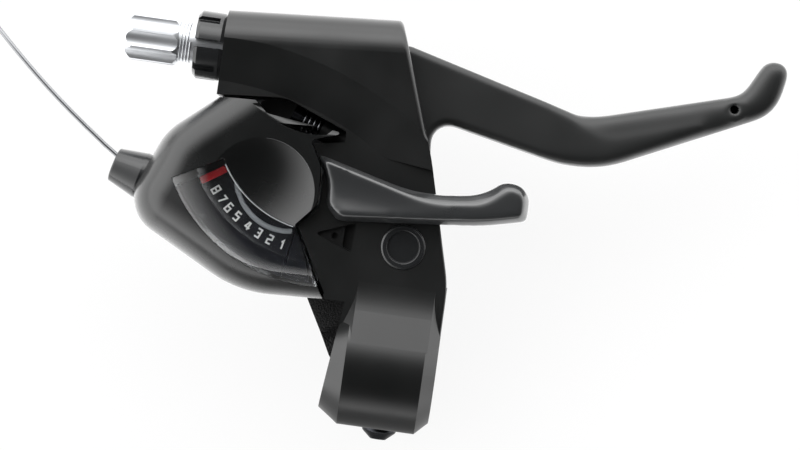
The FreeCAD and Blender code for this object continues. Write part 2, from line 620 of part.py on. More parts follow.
blade.pad([(bend[0] - 9, bend[1] - 10.9, 0), (bend[0] + 2, bend[1] - 14.0, 28),
           (tip[0] - 2.5, tip[1] - 14.0, 10), (tip[0], tip[1] - 0.6, 3.1),
           (tip[0] - 6.6, tip[1] - 1.0, 3.1), (tip[0] - 11.3, tip[1] - 10.4, 6),
           (bend[0], bend[1] - 0.1, 24), (bend[0] - 9, bend[1] + 1.6, 0)], length=half_blade * 2,
          level=-half_blade)
blade.fillet(s.finger_round, face_edges(half_blade))
blade.cut((tip[0] - 13.2, tip[1] - 14.4, s.tip_hole_radius), length=s.lever_thick * 0.6, level=half_blade + 1)
keep(boolean("Fuse", root, blade, "brake_lever"))
bush = Piece("lever_bush")
bush.pad((0, 0, bush_radius), (0, 0, s.pin_radius + s.spin_gap), length=s.lever_thick,
         level=-s.lever_thick / 2)
place(bush.body, *pivot)
keep(bush)
keep(turned("lever_pivot_pin", [
    (0, -s.under_side - 1.6, 0), (s.pin_radius, -s.under_side - 1.6, 0.4),
    (s.pin_radius, s.plate_top - s.pin_below - 0.1, 0.4), (0, s.plate_top - s.pin_below - 0.1, 0)], *pivot))
clip = Piece("lever_pin_clip")
clip.pad((0, 0, s.clip_radius), (0, 0, s.pin_radius + s.press_gap), length=0.8)
place(clip.body, *pivot, -s.under_side - 0.9)
keep(clip)

# Barrel adjuster and lock nut, both on the brake cable line
along_bar = Rotation(Vector(0, 0, 1), Vector(-1, 0, 0))
face = -s.hood_left
adjuster = Piece("barrel_adjuster")
head_start = s.adjuster_out - s.head_length
adjuster.turn([(s.wire_bore, -s.thread_depth + 0.5, 0), (s.thread_radius, -s.thread_depth + 0.5, 0.5),
               (s.thread_radius, head_start, 0), (s.head_radius - 0.9, head_start, 0),
               (s.head_radius, head_start + 1.1, 0.5), (s.head_radius, s.adjuster_out - 2.2, 0.5),
               (s.head_radius - 1.6, s.adjuster_out, 0.3), (s.housing_radius, s.adjuster_out, 0),
               (s.housing_radius, s.adjuster_out - s.housing_depth, 0),
               (s.wire_bore, s.adjuster_out - s.housing_depth, 0)])
flute = adjuster.cut((s.head_radius + s.flute_radius - s.flute_depth, 0, s.flute_radius),
                     length=s.head_length + 0.5, level=s.adjuster_out + 0.2)
adjuster.polar(flute, s.flutes)
adjuster.cut(rectangle(0, -s.wire_slot / 2, s.head_radius + 1, s.wire_slot / 2),
             length=s.adjuster_out + s.thread_depth + 2, level=s.adjuster_out + 1)
place(adjuster.body, face, s.cable_line_y, 0.0, along_bar * Rotation(Vector(0, 0, 1), 150))
keep(adjuster)
lock = Piece("adjuster_lock_nut")
lock.turn([(s.thread_radius + s.spin_gap, 0, 0), (s.lock_radius - 0.4, 0, 0), (s.lock_radius, 0.8, 0.4),
           (s.lock_radius, s.lock_length - 0.8, 0.4), (s.lock_radius - 0.8, s.lock_length, 0),
           (s.thread_radius + s.spin_gap, s.lock_length, 0)])
rib = lock.cut([(s.lock_radius - s.lock_groove_depth, -s.lock_groove / 2, 0.3),
                (s.lock_radius + 1, -s.lock_groove / 2, 0), (s.lock_radius + 1, s.lock_groove / 2, 0),
                (s.lock_radius - s.lock_groove_depth, s.lock_groove / 2, 0.3)], length=s.lock_length - 1.6,
               level=s.lock_length)
lock.polar(rib, s.lock_grooves)
lock.cut(rectangle(0, -s.wire_slot / 2, s.lock_radius + 1, s.wire_slot / 2),
         length=s.lock_length + 2, level=s.lock_length + 1)
place(lock.body, face - s.lock_gap, s.cable_line_y, 0.0, along_bar)
keep(lock)

# Shift unit: cover with its dish, clear window, case and base plate


def pod_top(label, outline, top, rounding):
    """The unit's upper half as a solid: outline raised from the parting plane, outer sides rounded over."""
    piece = Piece(label)
    piece.pad(outline, length=top - s.parting, level=s.parting)
    left, right, rear = number(axle[0]) - 14, number(axle[0]) + 16, number(axle[1]) - 20
    piece.fillet(rounding, level_edges(top, lambda c: c.x < left or (c.y < rear and c.x < right)))
    return piece


def dish(piece, top, radius, depth):
    """Round hollow over the axle, part of a sphere."""
    ball = (radius * radius + depth * depth) / (2 * depth)
    hollow = doc.addObject("Part::Sphere", f"{piece.body.Label}_ball")
    bind(hollow, "Radius", ball)
    place(hollow, *axle, top - depth + ball)
    return boolean("Cut", piece, hollow, f"{piece.body.Label}_dished")


wire_way = toward(s.outlet_wire_angle)
wire_x, wire_y = cosd(s.outlet_wire_angle), sind(s.outlet_wire_angle)
wire_start = (axle[0] - s.spool_radius * wire_y, axle[1] + s.spool_radius * wire_x)


def along_wire(distance):
    return wire_start[0] + distance * wire_x, wire_start[1] + distance * wire_y, s.wire_level


outlet_hole = doc.addObject("Part::Cylinder", "outlet_hole")
bind(outlet_hole, "Radius", s.outlet_base_radius + s.press_gap)
bind(outlet_hole, "Height", 14.0)
place(outlet_hole, *along_wire(s.outlet_base - 6), wire_way)
corridor = doc.addObject("Part::Box", "reach_corridor")
bind(corridor, "Length", s.reach_length + 4)
bind(corridor, "Width", s.reach_radius * 2 + 2.6)
bind(corridor, "Height", s.reach_radius * 2 + 2.6)
half_way = s.reach_radius + 1.3
place(corridor, reach_head[0] + half_way * reach_y - 3 * reach_x,
      reach_head[1] - half_way * reach_x - 3 * reach_y, reach_head[2] - half_way,
      Rotation(Vector(0, 0, 1), number(s.reach_turn)))


def open_for_neighbours(shell, label):
    return boolean("Cut", boolean("Cut", shell, outlet_hole, f"{label}_holed"), corridor, label)


def slope_lip(cover):
    """Hollows the edge of the cover over the reach screw with a long spindle, which leaves a pointed beak."""
    half = s.lip_length / 2
    x, y, _ = from_axle(6.9, 18.75)
    spindle = turned("lip_spindle", [(0, -half, 0), (s.lip_radius, 0, 24), (0, half, 0)], x, y, s.lip_level,
                     toward(s.lip_turn))
    return boolean("Cut", cover, spindle, "cover_lipped")


sector = (*display, s.window_inner, s.window_outer, s.window_start, s.window_end)
hollow_outline = inset(cover_outline, s.pod_wall)
blank = dish(pod_top("cover_blank", cover_outline, s.cover_top, s.pod_round), s.cover_top, s.dish_radius,
             s.dish_depth)
core = dish(pod_top("cover_core", hollow_outline, s.cover_top - s.pod_wall, s.pod_round - s.pod_wall),
            s.cover_top - s.pod_wall, s.dish_radius + s.pod_wall / 2, s.dish_depth)
shell = boolean("Cut", blank, core, "cover_shell")
opening = Piece("window_opening")
opening.pad(sector, length=s.cover_top - s.parting + 2, level=s.parting + 4)
keep(open_for_neighbours(slope_lip(boolean("Cut", shell, opening, "cover_open")), "shift_cover"))

window_block = pod_top("window_block", cover_outline, s.cover_top, s.pod_round)
window_area = Piece("window_area")
window_area.pad((*display, s.window_inner + s.fit_gap, s.window_outer - s.fit_gap, s.window_start + 0.25,
                 s.window_end), length=s.cover_top, level=s.window_under)
window_solid = boolean("Common", window_block, window_area, "window_solid")
window_core = pod_top("window_core", hollow_outline, s.cover_top - s.window_wall, s.pod_round - s.pod_wall)
window_room = Piece("window_room")
window_room.pad((*display, s.window_inner + s.window_wall, s.window_outer - s.window_wall,
                 s.window_start + 2.6, s.window_end), length=s.cover_top, level=s.window_under - 1)
keep(boolean("Cut", window_solid, boolean("Common", window_core, window_room, "window_hollow"),
             "indicator_window"))

case = Piece("case_shell")
case.pad(case_outline, length=s.parting + s.under_side, level=-s.under_side)
case.cut(inset(case_outline, s.pod_wall), length=s.parting + s.under_side + 2, level=s.parting + 1)
for x, y, rib_length in (from_axle(-13.3, -9.0, 9), from_axle(-2.8, -17.0, 5.6)):
    case.pad(rectangle(x - 0.8, y - rib_length, x + 0.8, y),
             length=s.parting + s.under_side, level=-s.under_side)
    case.pad((x, y, 1.8), length=s.dial_level + s.under_side, level=-s.under_side)
case.cut(rectangle(pod_face - 4, 34, pod_face + 4, 50.4),
         length=s.under_side, level=bay_top)
keep(open_for_neighbours(case, "shift_case"))

base_plate = Piece("base_plate")
base_plate.pad(inset(case_outline, 0.6), length=s.plate_thick, level=-s.under_side - s.plate_thick)
base_plate.pad([(pod_face - 4, 25, 0), (s.cap_x + 3, 25, 4), (s.cap_x + 7, 36, 4), (pod_face - 4, 36, 0)],
               length=s.plate_thick, level=-s.under_side - s.plate_thick)
base_plate.pad([(-s.hood_left + 0.2, axle[1] + 20.5, 0), (axle[0] + 2, axle[1] + 18.5, 0),
                (axle[0] + 2, axle[1] + 25, 0), (-s.hood_left + 0.2, axle[1] + 25, 0)],
               length=s.plate_thick, level=-s.under_side - s.plate_thick)
base_plate.cut((*axle, s.axle_radius + s.press_gap), (s.cap_x, s.cap_y, s.unit_bolt_radius + s.press_gap),
               length=s.plate_thick * 2, level=-s.under_side + 0.5)
base_plate.cut((*axle, s.post_ring - s.post_radius - 0.4, s.post_ring + s.post_radius + 0.4, s.post_angle - 7,
                s.post_angle + s.thumb_travel + 7), length=s.plate_thick * 2, level=-s.under_side + 0.5)
keep(base_plate)

# Dial and needle
dial = Piece("indicator_dial")
dial.pad((*display, s.needle_inner, s.window_outer - 0.2, s.window_start + 3, s.dial_end),
         length=s.dial_thick, level=s.dial_level)
keep(dial)
needle = Piece("indicator_needle")
half_needle = s.needle_width / 2
needle.pad([(s.needle_inner + 0.3, -half_needle, 0.3), (s.needle_outer, -half_needle, 0.3),
            (s.needle_outer, half_needle, 0.3), (s.needle_inner + 0.3, half_needle, 0.3)],
           length=s.needle_thick)
place(needle.body, *display, s.dial_level + s.dial_thick + s.run_gap,
      Rotation(Vector(0, 0, 1), number(s.needle_angle)))
keep(needle)

# Main axle, circlip, nut and the cable spool with its ratchet
arm_top = -s.under_side - s.plate_thick - s.run_gap
arm_bottom = arm_top - s.thumb_thick
keep(turned("main_axle", [(0, arm_bottom - s.axle_nut_height - 0.4, 0),
                          (s.axle_radius, arm_bottom - s.axle_nut_height - 0.4, 0.4),
                          (s.axle_radius, s.spool_top + 2.2, 0.4), (0, s.spool_top + 2.2, 0)], *axle))
ring = Piece("axle_circlip")
ring.pad((0, 0, s.axle_radius + 1.6), (0, 0, s.axle_radius + s.press_gap), length=0.8)
place(ring.body, *axle, s.spool_top + s.run_gap)
keep(ring)
axle_nut = Piece("axle_nut")
axle_nut.pad(hexagon(s.axle_nut_radius), (0, 0, s.axle_radius + s.press_gap), length=s.axle_nut_height)
place(axle_nut.body, *axle, arm_bottom - s.run_gap - s.axle_nut_height)
keep(axle_nut)

ratchet_top = -s.under_side + s.ratchet_thick + 0.6
spool = Piece("cable_spool")
groove_foot = s.spool_radius - s.wire_radius
bore = s.axle_radius + s.spin_gap
spool.turn([(bore, ratchet_top, 0), (s.hub_radius, ratchet_top, 0), (s.hub_radius, -s.spool_bottom, 0),
            (s.spool_flange, -s.spool_bottom, 0.3),
            (s.spool_flange, s.wire_level - s.wire_radius - 0.6, 0.2),
            (groove_foot, s.wire_level - s.wire_radius - 0.1, 0.3),
            (groove_foot, s.wire_level + s.wire_radius + 0.1, 0.3),
            (s.spool_flange, s.wire_level + s.wire_radius + 0.6, 0.2), (s.spool_flange, s.spool_top, 0.4),
            (bore, s.spool_top, 0)])
barrel_at = (s.spool_radius * cosd(s.outlet_wire_angle + 111),
             s.spool_radius * sind(s.outlet_wire_angle + 111))
spool.cut((*barrel_at, s.barrel_radius + 0.05), length=s.barrel_length + 1.4, level=s.spool_top + 0.5)
place(spool.body, *axle)
keep(spool)
barrel = Piece("cable_barrel")
barrel.pad((*barrel_at, s.barrel_radius), length=s.barrel_length, level=s.spool_top - s.barrel_length - 0.6)
place(barrel.body, *axle)
keep(barrel)

ratchet = Piece("ratchet_plate")
ratchet.pad((0, 0, s.ratchet_tip), (0, 0, bore), length=s.ratchet_thick)
step = math.radians(360 / number(s.ratchet_teeth))
tooth = ratchet.cut([(s.ratchet_root, 0, 0), (s.ratchet_tip + 1, 0, 0),
                     ((s.ratchet_tip + 1) * math.cos(step), (s.ratchet_tip + 1) * math.sin(step), 0),
                     (s.ratchet_tip * math.cos(step), s.ratchet_tip * math.sin(step), 0)],
                    length=s.ratchet_thick * 2, level=s.ratchet_thick * 1.5)
ratchet.polar(tooth, s.ratchet_teeth)
place(ratchet.body, *axle, ratchet_top - s.ratchet_thick)
keep(ratchet)
coil("spool_spring", s.hub_radius + s.spring_wire / 2 + 0.4, s.spring_wire, 1.25,
     -s.spool_bottom - ratchet_top - s.spring_wire - 1.2, *axle, ratchet_top + s.spring_wire / 2 + 0.5)

# Thumb lever: steel arm on the axle, textured pad that drops below the clamp, post and feed pawl
thumb_turn = Rotation(Vector(0, 0, 1), number(s.thumb_angle))
post_local = s.post_angle - s.thumb_angle
post_at = (s.post_ring * cosd(post_local), s.post_ring * sind(post_local))
half_arm = s.thumb_width / 2
arm = Piece("thumb_lever_arm")
arm.pad([(-7, -half_arm, 5), (s.thumb_ramp - 1, -half_arm + 1.4, 1), (s.thumb_ramp - 1, half_arm - 1.4, 1),
         (-7, half_arm, 5)], length=s.thumb_thick)
arm.pad([(-3, -half_arm + 1, 0), (post_at[0] - 3.4, post_at[1] - 3.4, 3),
         (post_at[0] + 3.4, post_at[1] - 1.4, 3), (post_at[0] + 4, 0, 0), (-3, 0, 0)], length=s.thumb_thick)
arm.cut((0.001, 0.001, s.axle_radius + s.spin_gap), (*post_at, s.post_radius + s.press_gap),
        length=s.thumb_thick * 2, level=s.thumb_thick * 1.5)
place(arm.body, *axle, arm_bottom, thumb_turn)
keep(arm)
side = Piece("thumb_pad_side")
pad_run = s.thumb_reach - s.thumb_ramp
low = arm_top - s.thumb_drop
side.pad([(s.thumb_ramp - 9, arm_bottom, 0), (s.thumb_ramp - 9, arm_bottom - 2.6, 1.5),
          (s.thumb_ramp - 1, arm_bottom - 3.0, 4), (s.thumb_ramp + pad_run * 0.35, low - s.pad_thick, 6),
          (s.thumb_reach, low - s.pad_thick, 2.5), (s.thumb_reach, low, 2.4),
          (s.thumb_ramp + pad_run * 0.41, low, 6), (s.thumb_ramp + 2, arm_top, 2),
          (s.thumb_ramp - 0.7, arm_top, 0), (s.thumb_ramp - 0.7, arm_bottom, 0)], length=s.pad_width,
         plane="XZ_Plane", level=-s.pad_width / 2)
pad_wide = s.thumb_ramp + pad_run * 0.6
plan = Piece("thumb_pad_plan")
plan.pad([(s.thumb_ramp - 9, -4.4, 2), (s.thumb_ramp + 1, -4.4, 8), (pad_wide, -s.pad_width / 2, 6),
          (s.thumb_reach, -s.pad_width / 2, 5), (s.thumb_reach, s.pad_width / 2, 5),
          (pad_wide, s.pad_width / 2, 6), (s.thumb_ramp + 1, 4.4, 8), (s.thumb_ramp - 9, 4.4, 2)],
         length=s.thumb_drop + s.pad_thick + 6, level=low - s.pad_thick - 2)
pad_blank = boolean("Common", side, plan, "thumb_lever_pad")
place(pad_blank, *axle, 0.0, thumb_turn)
keep(pad_blank)
pawl_bottom = ratchet_top - s.ratchet_thick
post_world = (axle[0] + s.post_ring * cosd(s.post_angle), axle[1] + s.post_ring * sind(s.post_angle))
keep(turned("feed_pawl_post", [(0, arm_bottom, 0), (s.post_radius, arm_bottom, 0),
                               (s.post_radius, ratchet_top + 0.4, 0.3), (0, ratchet_top + 0.4, 0)],
            *post_world))
feed = Piece("feed_pawl")
feed.pad([(-2.8, -2.8, 2.7), (2.6, -2.8, 2), (7.4, -0.2, 0), (7.0, 0.7, 0), (2.2, 2.8, 2), (-2.8, 2.8, 2.7)],
         (0, 0, s.post_radius + s.spin_gap), length=s.ratchet_thick)
place(feed.body, *post_world, pawl_bottom, Rotation(Vector(0, 0, 1), 40))
keep(feed)
coil("thumb_spring", s.axle_radius + 1.9 + s.spring_wire / 2, s.spring_wire, 1.2, 1.3, *axle,
     arm_bottom - 0.35 - s.spring_wire / 2 - 1.3)

# Release lever with its shaft and cam, and the stop pawl that the cam lifts
finger = Piece("release_blank")
finger_top = s.release_under + s.release_thick
foot = [(-16.8, 34.6, 1.5), (19, 38.2, 60), (30.0, 40.9, 1.2), (30.1, 50.1, 4.8), (22.6, 50.1, 3),
        (17.6, 46.1, 14), (2.4, 44.2, 40), (-24.2, 50.9, 0.6), (-20.2, 43.5, 8), (-20.2, 38.4, 3)]
rim = [(-15.9, 36.2, 1.5), (19, 40.0, 60), (28.2, 42.2, 1.0), (28.1, 48.6, 3.0), (24.0, 48.6, 1.5),
       (18.5, 43.9, 8), (6, 41.9, 20), (-22.0, 49.3, 0.6), (-19.4, 43.5, 8), (-19.4, 39.2, 3)]
finger.pad(foot, length=s.release_edge, level=s.release_under)
finger.loft(foot, rim, s.release_under + s.release_edge, finger_top)
finger.fillet(0.4, level_edges(finger_top))
finger.cut((*release, s.release_shaft + s.press_gap), length=3.0, level=s.release_under + 2.5)
hollow = doc.addObject("Part::Cylinder", "release_hollow")
bind(hollow, "Radius", s.hollow_radius)
bind(hollow, "Height", 60.0)
place(hollow, -28.0, 43.2, finger_top + s.hollow_radius - s.hollow_depth,
      Rotation(Vector(0, 0, 1), Vector(40, -2.6, 1.1)))
keep(boolean("Cut", finger, hollow, "release_lever"))
keep(turned("release_shaft", [
    (0, pawl_bottom - 0.3, 0), (s.release_shaft, pawl_bottom - 0.3, 0.3),
    (s.release_shaft, s.plate_top + 0.1, 0), (s.release_shaft + 1.6, s.plate_top + 0.1, 0),
    (s.release_shaft + 1.6, s.release_under, 0), (s.release_shaft, s.release_under, 0),
    (s.release_shaft, s.release_under + 2.4, 0), (0, s.release_under + 2.4, 0)], *release))
cam = Piece("release_cam")
cam.pad([(-2.9, -2.9, 2.8), (2.9, -2.9, 2.8), (2.9, 2.9, 2.8), (-2.3, 4.6, 0.6), (-3.9, 3.4, 0.6)],
        (0, 0, s.release_shaft + s.press_gap), length=s.ratchet_thick)
place(cam.body, *release, pawl_bottom)
keep(cam)
coil("release_spring", s.release_shaft + 0.65, 0.6, 0.95, 3.4, *release, ratchet_top + 1.0)
keep(turned("stop_pawl_pin", [(0, -s.under_side, 0), (1.4, -s.under_side, 0), (1.4, ratchet_top + 0.4, 0.3),
                              (0, ratchet_top + 0.4, 0)], *stop))
latch = Piece("stop_pawl")
latch.pad([(-2.6, 2.6, 2.4), (-2.6, -3.0, 2), (0.2, -8.8, 0), (1.1, -8.6, 0), (2.0, -5.4, 1),
           (4.6, -4.8, 0.4), (5.0, -3.4, 0.4), (2.6, -1.2, 1), (2.6, 2.6, 2.4)], (0, 0, 1.4 + s.spin_gap),
          length=s.ratchet_thick)
place(latch.body, *stop, pawl_bottom)
keep(latch)

# Bolt that holds the shift unit to the bracket, and its cap
cap_top = s.plate_top + 0.4
keep(turned("unit_fixing_bolt", [
    (0, -s.under_side - s.plate_thick, 0), (s.unit_bolt_radius, -s.under_side - s.plate_thick, 0.4),
    (s.unit_bolt_radius, cap_top - s.cap_height - s.unit_head_height, 0),
    (s.unit_head_radius, cap_top - s.cap_height - s.unit_head_height, 0),
    (s.unit_head_radius, cap_top - s.cap_height - 0.1, 0.4), (0, cap_top - s.cap_height - 0.1, 0)], s.cap_x,
    s.cap_y))
keep(turned("fixing_bolt_cap", [
    (0, cap_top - s.cap_height, 0), (s.cap_radius, cap_top - s.cap_height, 0),
    (s.cap_radius, cap_top - 0.3, 0.25), (s.cap_radius - 0.5, cap_top, 0.25),
    (s.cap_radius - 1.5, cap_top, 0.25), (s.cap_radius - 1.8, cap_top - 0.6, 0), (0, cap_top - 0.6, 0)],
    s.cap_x, s.cap_y))

# Cable outlet and the shift wire
keep(turned("cable_outlet", [
    (s.wire_radius + 0.2, s.outlet_base - 4.6, 0), (s.outlet_base_radius + 0.8, s.outlet_base - 4.6, 0),
    (s.outlet_base_radius + 0.8, s.outlet_base - 3.8, 0), (s.outlet_base_radius, s.outlet_base - 3.8, 0),
    (s.outlet_base_radius, s.outlet_base + 2.2, 0.6), (s.outlet_tip_radius, s.outlet_base + s.outlet_length,
                                                       0.5),
    (s.socket_radius, s.outlet_base + s.outlet_length, 0),
    (s.socket_radius, s.outlet_base + s.outlet_length - s.socket_depth, 0),
    (s.wire_radius + 0.2, s.outlet_base + s.outlet_length - s.socket_depth, 0)], *wire_start, s.wire_level,
    wire_way))


def rounded_path(points, radii):
    """Straight runs joined by tangent arcs."""
    edges, start = [], points[0]
    for before, corner, after, radius in zip(points, points[1:], points[2:], radii):
        back, ahead = (before - corner).normalize(), (after - corner).normalize()
        half = back.getAngle(ahead) / 2
        run = radius / math.tan(half)
        first, last = corner + back * run, corner + ahead * run
        middle = corner + (back + ahead).normalize() * (radius / math.sin(half) - radius)
        edges.append(Part.LineSegment(start, first).toShape())
        edges.append(Part.Arc(first, middle, last).toShape())
        start = last
    edges.append(Part.LineSegment(start, points[-1]).toShape())
    return Part.Wire(edges)


def tube(path, radius):
    """A round tube along a path, closed at both ends."""
    first = path.Edges[0]
    start = first.FirstParameter
    section = Part.makeCircle(radius, first.valueAt(start), first.tangentAt(start))
    return path.makePipeShell([Part.Wire([section])], True, True)


free_run = [Vector(-85.4, 51.4, 1.5), Vector(-95.3, 59.3, 1.2), Vector(-104.6, 67.6, 0.4),
            Vector(-112.6, 75.1, -3.0), Vector(-120.3, 82.4, -9.2), Vector(-127.7, 89.4, -16.2),
            Vector(-133.0, 94.1, -21.2), Vector(-137.5, 98.3, -23.4)]
points = [Vector(*[number(c) for c in along_wire(t)]) for t in (6.5, 32.0)] + free_run
runs = [(b - a).Length for a, b in zip(points, points[1:])]
radii = [8.0]
for i in range(2, len(points) - 1):
    turn = (points[i] - points[i - 1]).getAngle(points[i + 1] - points[i])
    radii.append(0.45 * min(runs[i - 1], runs[i]) / math.tan(turn / 2))
wire = doc.addObject("Part::Feature", "shift_wire")
wire.Shape = tube(rounded_path(points, radii), number(s.wire_radius))
keep(wire)
wire_coil = doc.addObject("Part::Torus", "wire_coil")
bind(wire_coil, "Radius1", s.coil_radius)
bind(wire_coil, "Radius2", s.coil_half)
place(wire_coil, -s.coil_x, s.coil_y, low - s.pad_thick + s.coil_half)
keep(wire_coil)


# Everything has to be sound before anything is written
doc.recompute()
for item in doc.Objects:
    if "Invalid" in item.State or "Error" in item.State:
        raise RuntimeError(f"{item.Label} did not compute")
os.makedirs("parts", exist_ok=True)
for item in PARTS:
    if item.Shape.isNull() or not item.Shape.isValid():
        raise RuntimeError(f"{item.Label} has no valid shape")
for item in PARTS:
    item.Shape.exportStep(f"parts/{item.Label}.step")
    box = item.Shape.BoundBox
    print(f"{item.Label}: {item.Shape.Volume:.0f} mm3, z {box.ZMin:.1f} to {box.ZMax:.1f}")
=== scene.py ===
# %% [markdown]
# # A flat-bar brake lever with its trigger shifter
#
# The real unit is a black moulded bracket that clamps round a handlebar. A brake blade swings in a slot of
# the bracket, and a shift pod with a small gear display is bolted to its side. The solids come from the CAD
# frame. This script gives them their finishes and adds what is too fine for the solids: soft edges, a screw
# thread, printed numbers and the loose shift wire. A camera, a floor and a soft light then show them.

import math

import bmesh
import bpy
from mathutils import Matrix, Vector


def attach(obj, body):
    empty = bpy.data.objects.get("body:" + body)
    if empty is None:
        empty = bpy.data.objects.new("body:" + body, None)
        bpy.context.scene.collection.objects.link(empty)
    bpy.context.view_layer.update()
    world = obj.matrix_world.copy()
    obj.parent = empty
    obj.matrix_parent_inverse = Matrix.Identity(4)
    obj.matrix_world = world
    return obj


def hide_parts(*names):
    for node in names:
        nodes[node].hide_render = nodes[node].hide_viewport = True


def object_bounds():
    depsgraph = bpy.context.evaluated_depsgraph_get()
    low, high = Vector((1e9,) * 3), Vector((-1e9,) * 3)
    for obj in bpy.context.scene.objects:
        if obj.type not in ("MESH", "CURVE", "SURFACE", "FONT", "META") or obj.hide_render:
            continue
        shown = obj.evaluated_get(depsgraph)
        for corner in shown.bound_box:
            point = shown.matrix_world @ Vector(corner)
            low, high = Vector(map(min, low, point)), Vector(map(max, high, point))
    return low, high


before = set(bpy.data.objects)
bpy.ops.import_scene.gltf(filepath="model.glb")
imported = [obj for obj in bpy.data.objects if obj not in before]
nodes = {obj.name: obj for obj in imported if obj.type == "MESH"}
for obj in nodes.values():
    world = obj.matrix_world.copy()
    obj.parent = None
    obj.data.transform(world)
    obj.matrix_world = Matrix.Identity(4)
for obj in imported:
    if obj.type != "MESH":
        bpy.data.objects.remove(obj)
cad_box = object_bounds()
MM = 0.001
print("CAD box, mm:", [[round(c / MM, 1) for c in corner] for corner in cad_box])

# %% [markdown]
# ## Colours and nodes
#
# Colours are written as sRGB hex values, as a designer would pick them from a swatch, and turned into the
# linear values that shaders use. One function adds a node to any tree, so every material and every geometry
# tree below reads the same way.

# %% Colours and nodes


def linear(code):
    """An sRGB hex colour as linear red, green, blue and alpha."""
    parts = [int(code[i:i + 2], 16) / 255 for i in (1, 3, 5)]
    return [c / 12.92 if c <= 0.04045 else ((c + 0.055) / 1.055) ** 2.4 for c in parts] + [1.0]


def node(tree, kind, inputs=None, **settings):
    """Adds a node with its settings. An input is a plain value or another node's output socket."""
    made = tree.nodes.new(kind)
    for name, value in settings.items():
        setattr(made, name, value)
    for key, value in (inputs or {}).items():
        if isinstance(value, bpy.types.NodeSocket):
            tree.links.new(value, made.inputs[key])
        else:
            made.inputs[key].default_value = value
    return made


print("mid grey, linear:", round(linear("#808080")[0], 3))

# %% [markdown]
# ## Materials
#
# Every finish is one Principled shader. Moulded, coated and turned surfaces are never quite even, so a
# second function adds a grain and lets the roughness wander over patches the size of a fingertip. The
# pattern's scale is one over the size of a cell, because Object coordinates are metres on the piece itself.

# %% Materials
PATCH = 14
NOISE_LOW, NOISE_HIGH = 0.3, 0.7


def finish_material(name, colour, **sockets):
    """A material with one Principled shader whose constant values sit on its own sockets."""
    material = bpy.data.materials.new(name)
    material.use_nodes = True
    shader = material.node_tree.nodes["Principled BSDF"]
    shader.inputs["Base Color"].default_value = linear(colour)
    for key, value in sockets.items():
        shader.inputs[key.replace("_", " ")].default_value = value
    return material


def grain(material, size, depth, strength=1.0, roughness=None, stretch=(1, 1, 1)):
    """Surface texture with cells of the given size and depth in mm, and roughness that wanders."""
    tree = material.node_tree
    shader = tree.nodes["Principled BSDF"]
    place = node(tree, "ShaderNodeTexCoord").outputs["Object"]
    if stretch != (1, 1, 1):
        place = node(tree, "ShaderNodeMapping", {"Vector": place, "Scale": stretch}).outputs["Vector"]
    cells = node(tree, "ShaderNodeTexNoise", {"Vector": place, "Scale": 1 / (size * MM), "Detail": 3.0})
    bump = node(tree, "ShaderNodeBump", {"Height": cells.outputs["Fac"], "Strength": strength,
                                         "Distance": depth * MM})
    tree.links.new(bump.outputs["Normal"], shader.inputs["Normal"])
    if roughness:
        low, high = roughness
        patches = node(tree, "ShaderNodeTexNoise", {"Vector": place, "Scale": 1 / (PATCH * MM),
                                                    "Detail": 5.0})
        level = node(tree, "ShaderNodeMapRange", {"Value": patches.outputs["Fac"], "From Min": NOISE_LOW,
                                                  "From Max": NOISE_HIGH, "To Min": low, "To Max": high})
        tree.links.new(level.outputs["Result"], shader.inputs["Roughness"])
    return material


print("patches of changing roughness, mm:", PATCH)

# %% [markdown]
# ## Pieces
#
# A CAD node gets its finish by having its material slots emptied and filled with one material. A piece that
# this script makes is built as a bmesh in its final place, so that its object can stay at the origin, and
# rides on the body that carries it when a joint turns.

# %% Pieces


def dress(material, *names):
    """Gives CAD nodes their finish."""
    for name in names:
        nodes[name].data.materials.clear()
        nodes[name].data.materials.append(material)
        for face in nodes[name].data.polygons:
            face.material_index = 0
    print(material.name, "on nodes:", len(names))


def piece(name, bm, material, body, smooth=True):
    """Turns a bmesh into an object that rides on a body."""
    mesh = bpy.data.meshes.new(name)
    bm.to_mesh(mesh)
    bm.free()
    for face in mesh.polygons:
        face.use_smooth = smooth
    made = bpy.data.objects.new(name, mesh)
    bpy.context.scene.collection.objects.link(made)
    made.data.materials.append(material)
    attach(made, body)
    return made


print("CAD nodes:", len(nodes))

# %% [markdown]
# ## Finishes of the mouldings
#
# The bracket and the pod are glass-filled nylon from a spark-eroded mould: very dark, with a fine grain that
# spreads the light into a soft sheen. The small finger lever, the outlet and the lock nut come from a
# polished mould and shine. Grain of a tenth of a millimetre would vanish at this picture size, so it is
# drawn a few times coarser than life.

# %% Mouldings
# near black with a broad, soft sheen on the round edges
moulded_nylon = grain(finish_material("moulded_nylon", "#0c0d0d", IOR=1.53), size=0.5, depth=0.012,
                      strength=0.5, roughness=(0.28, 0.36))
# the same black from a finer mould, so its sheen is tighter and brighter
pod_nylon = grain(finish_material("pod_nylon", "#0d0e0e", IOR=1.53), size=0.5, depth=0.008,
                  strength=0.4, roughness=(0.22, 0.3))
# small sharp lights on its corners
polished_nylon = grain(finish_material("polished_nylon", "#1c1d1e", IOR=1.53), size=1.2, depth=0.008,
                       strength=0.4, roughness=(0.18, 0.26))
# black nylon given a grey base colour that paints its broad sheen, under a glossy skin which draws bright
# lines along the rims
finger_nylon_painted_sheen = grain(finish_material("finger_nylon_painted_sheen", "#292a2b", IOR=1.53, Coat_Weight=0.7), size=0.6,
                     depth=0.010, strength=0.5, roughness=(0.26, 0.34))
# a coarse grip texture that breaks the light into specks
grained_pad = grain(finish_material("grained_pad", "#0b0b0c", IOR=1.53, Roughness=0.3), size=0.5, depth=0.25)
dress(moulded_nylon, "bracket")
dress(pod_nylon, "shift_cover", "shift_case")
dress(finger_nylon_painted_sheen, "release_lever")
dress(polished_nylon, "cable_outlet", "adjuster_lock_nut", "fixing_bolt_cap")
dress(grained_pad, "thumb_lever_pad")

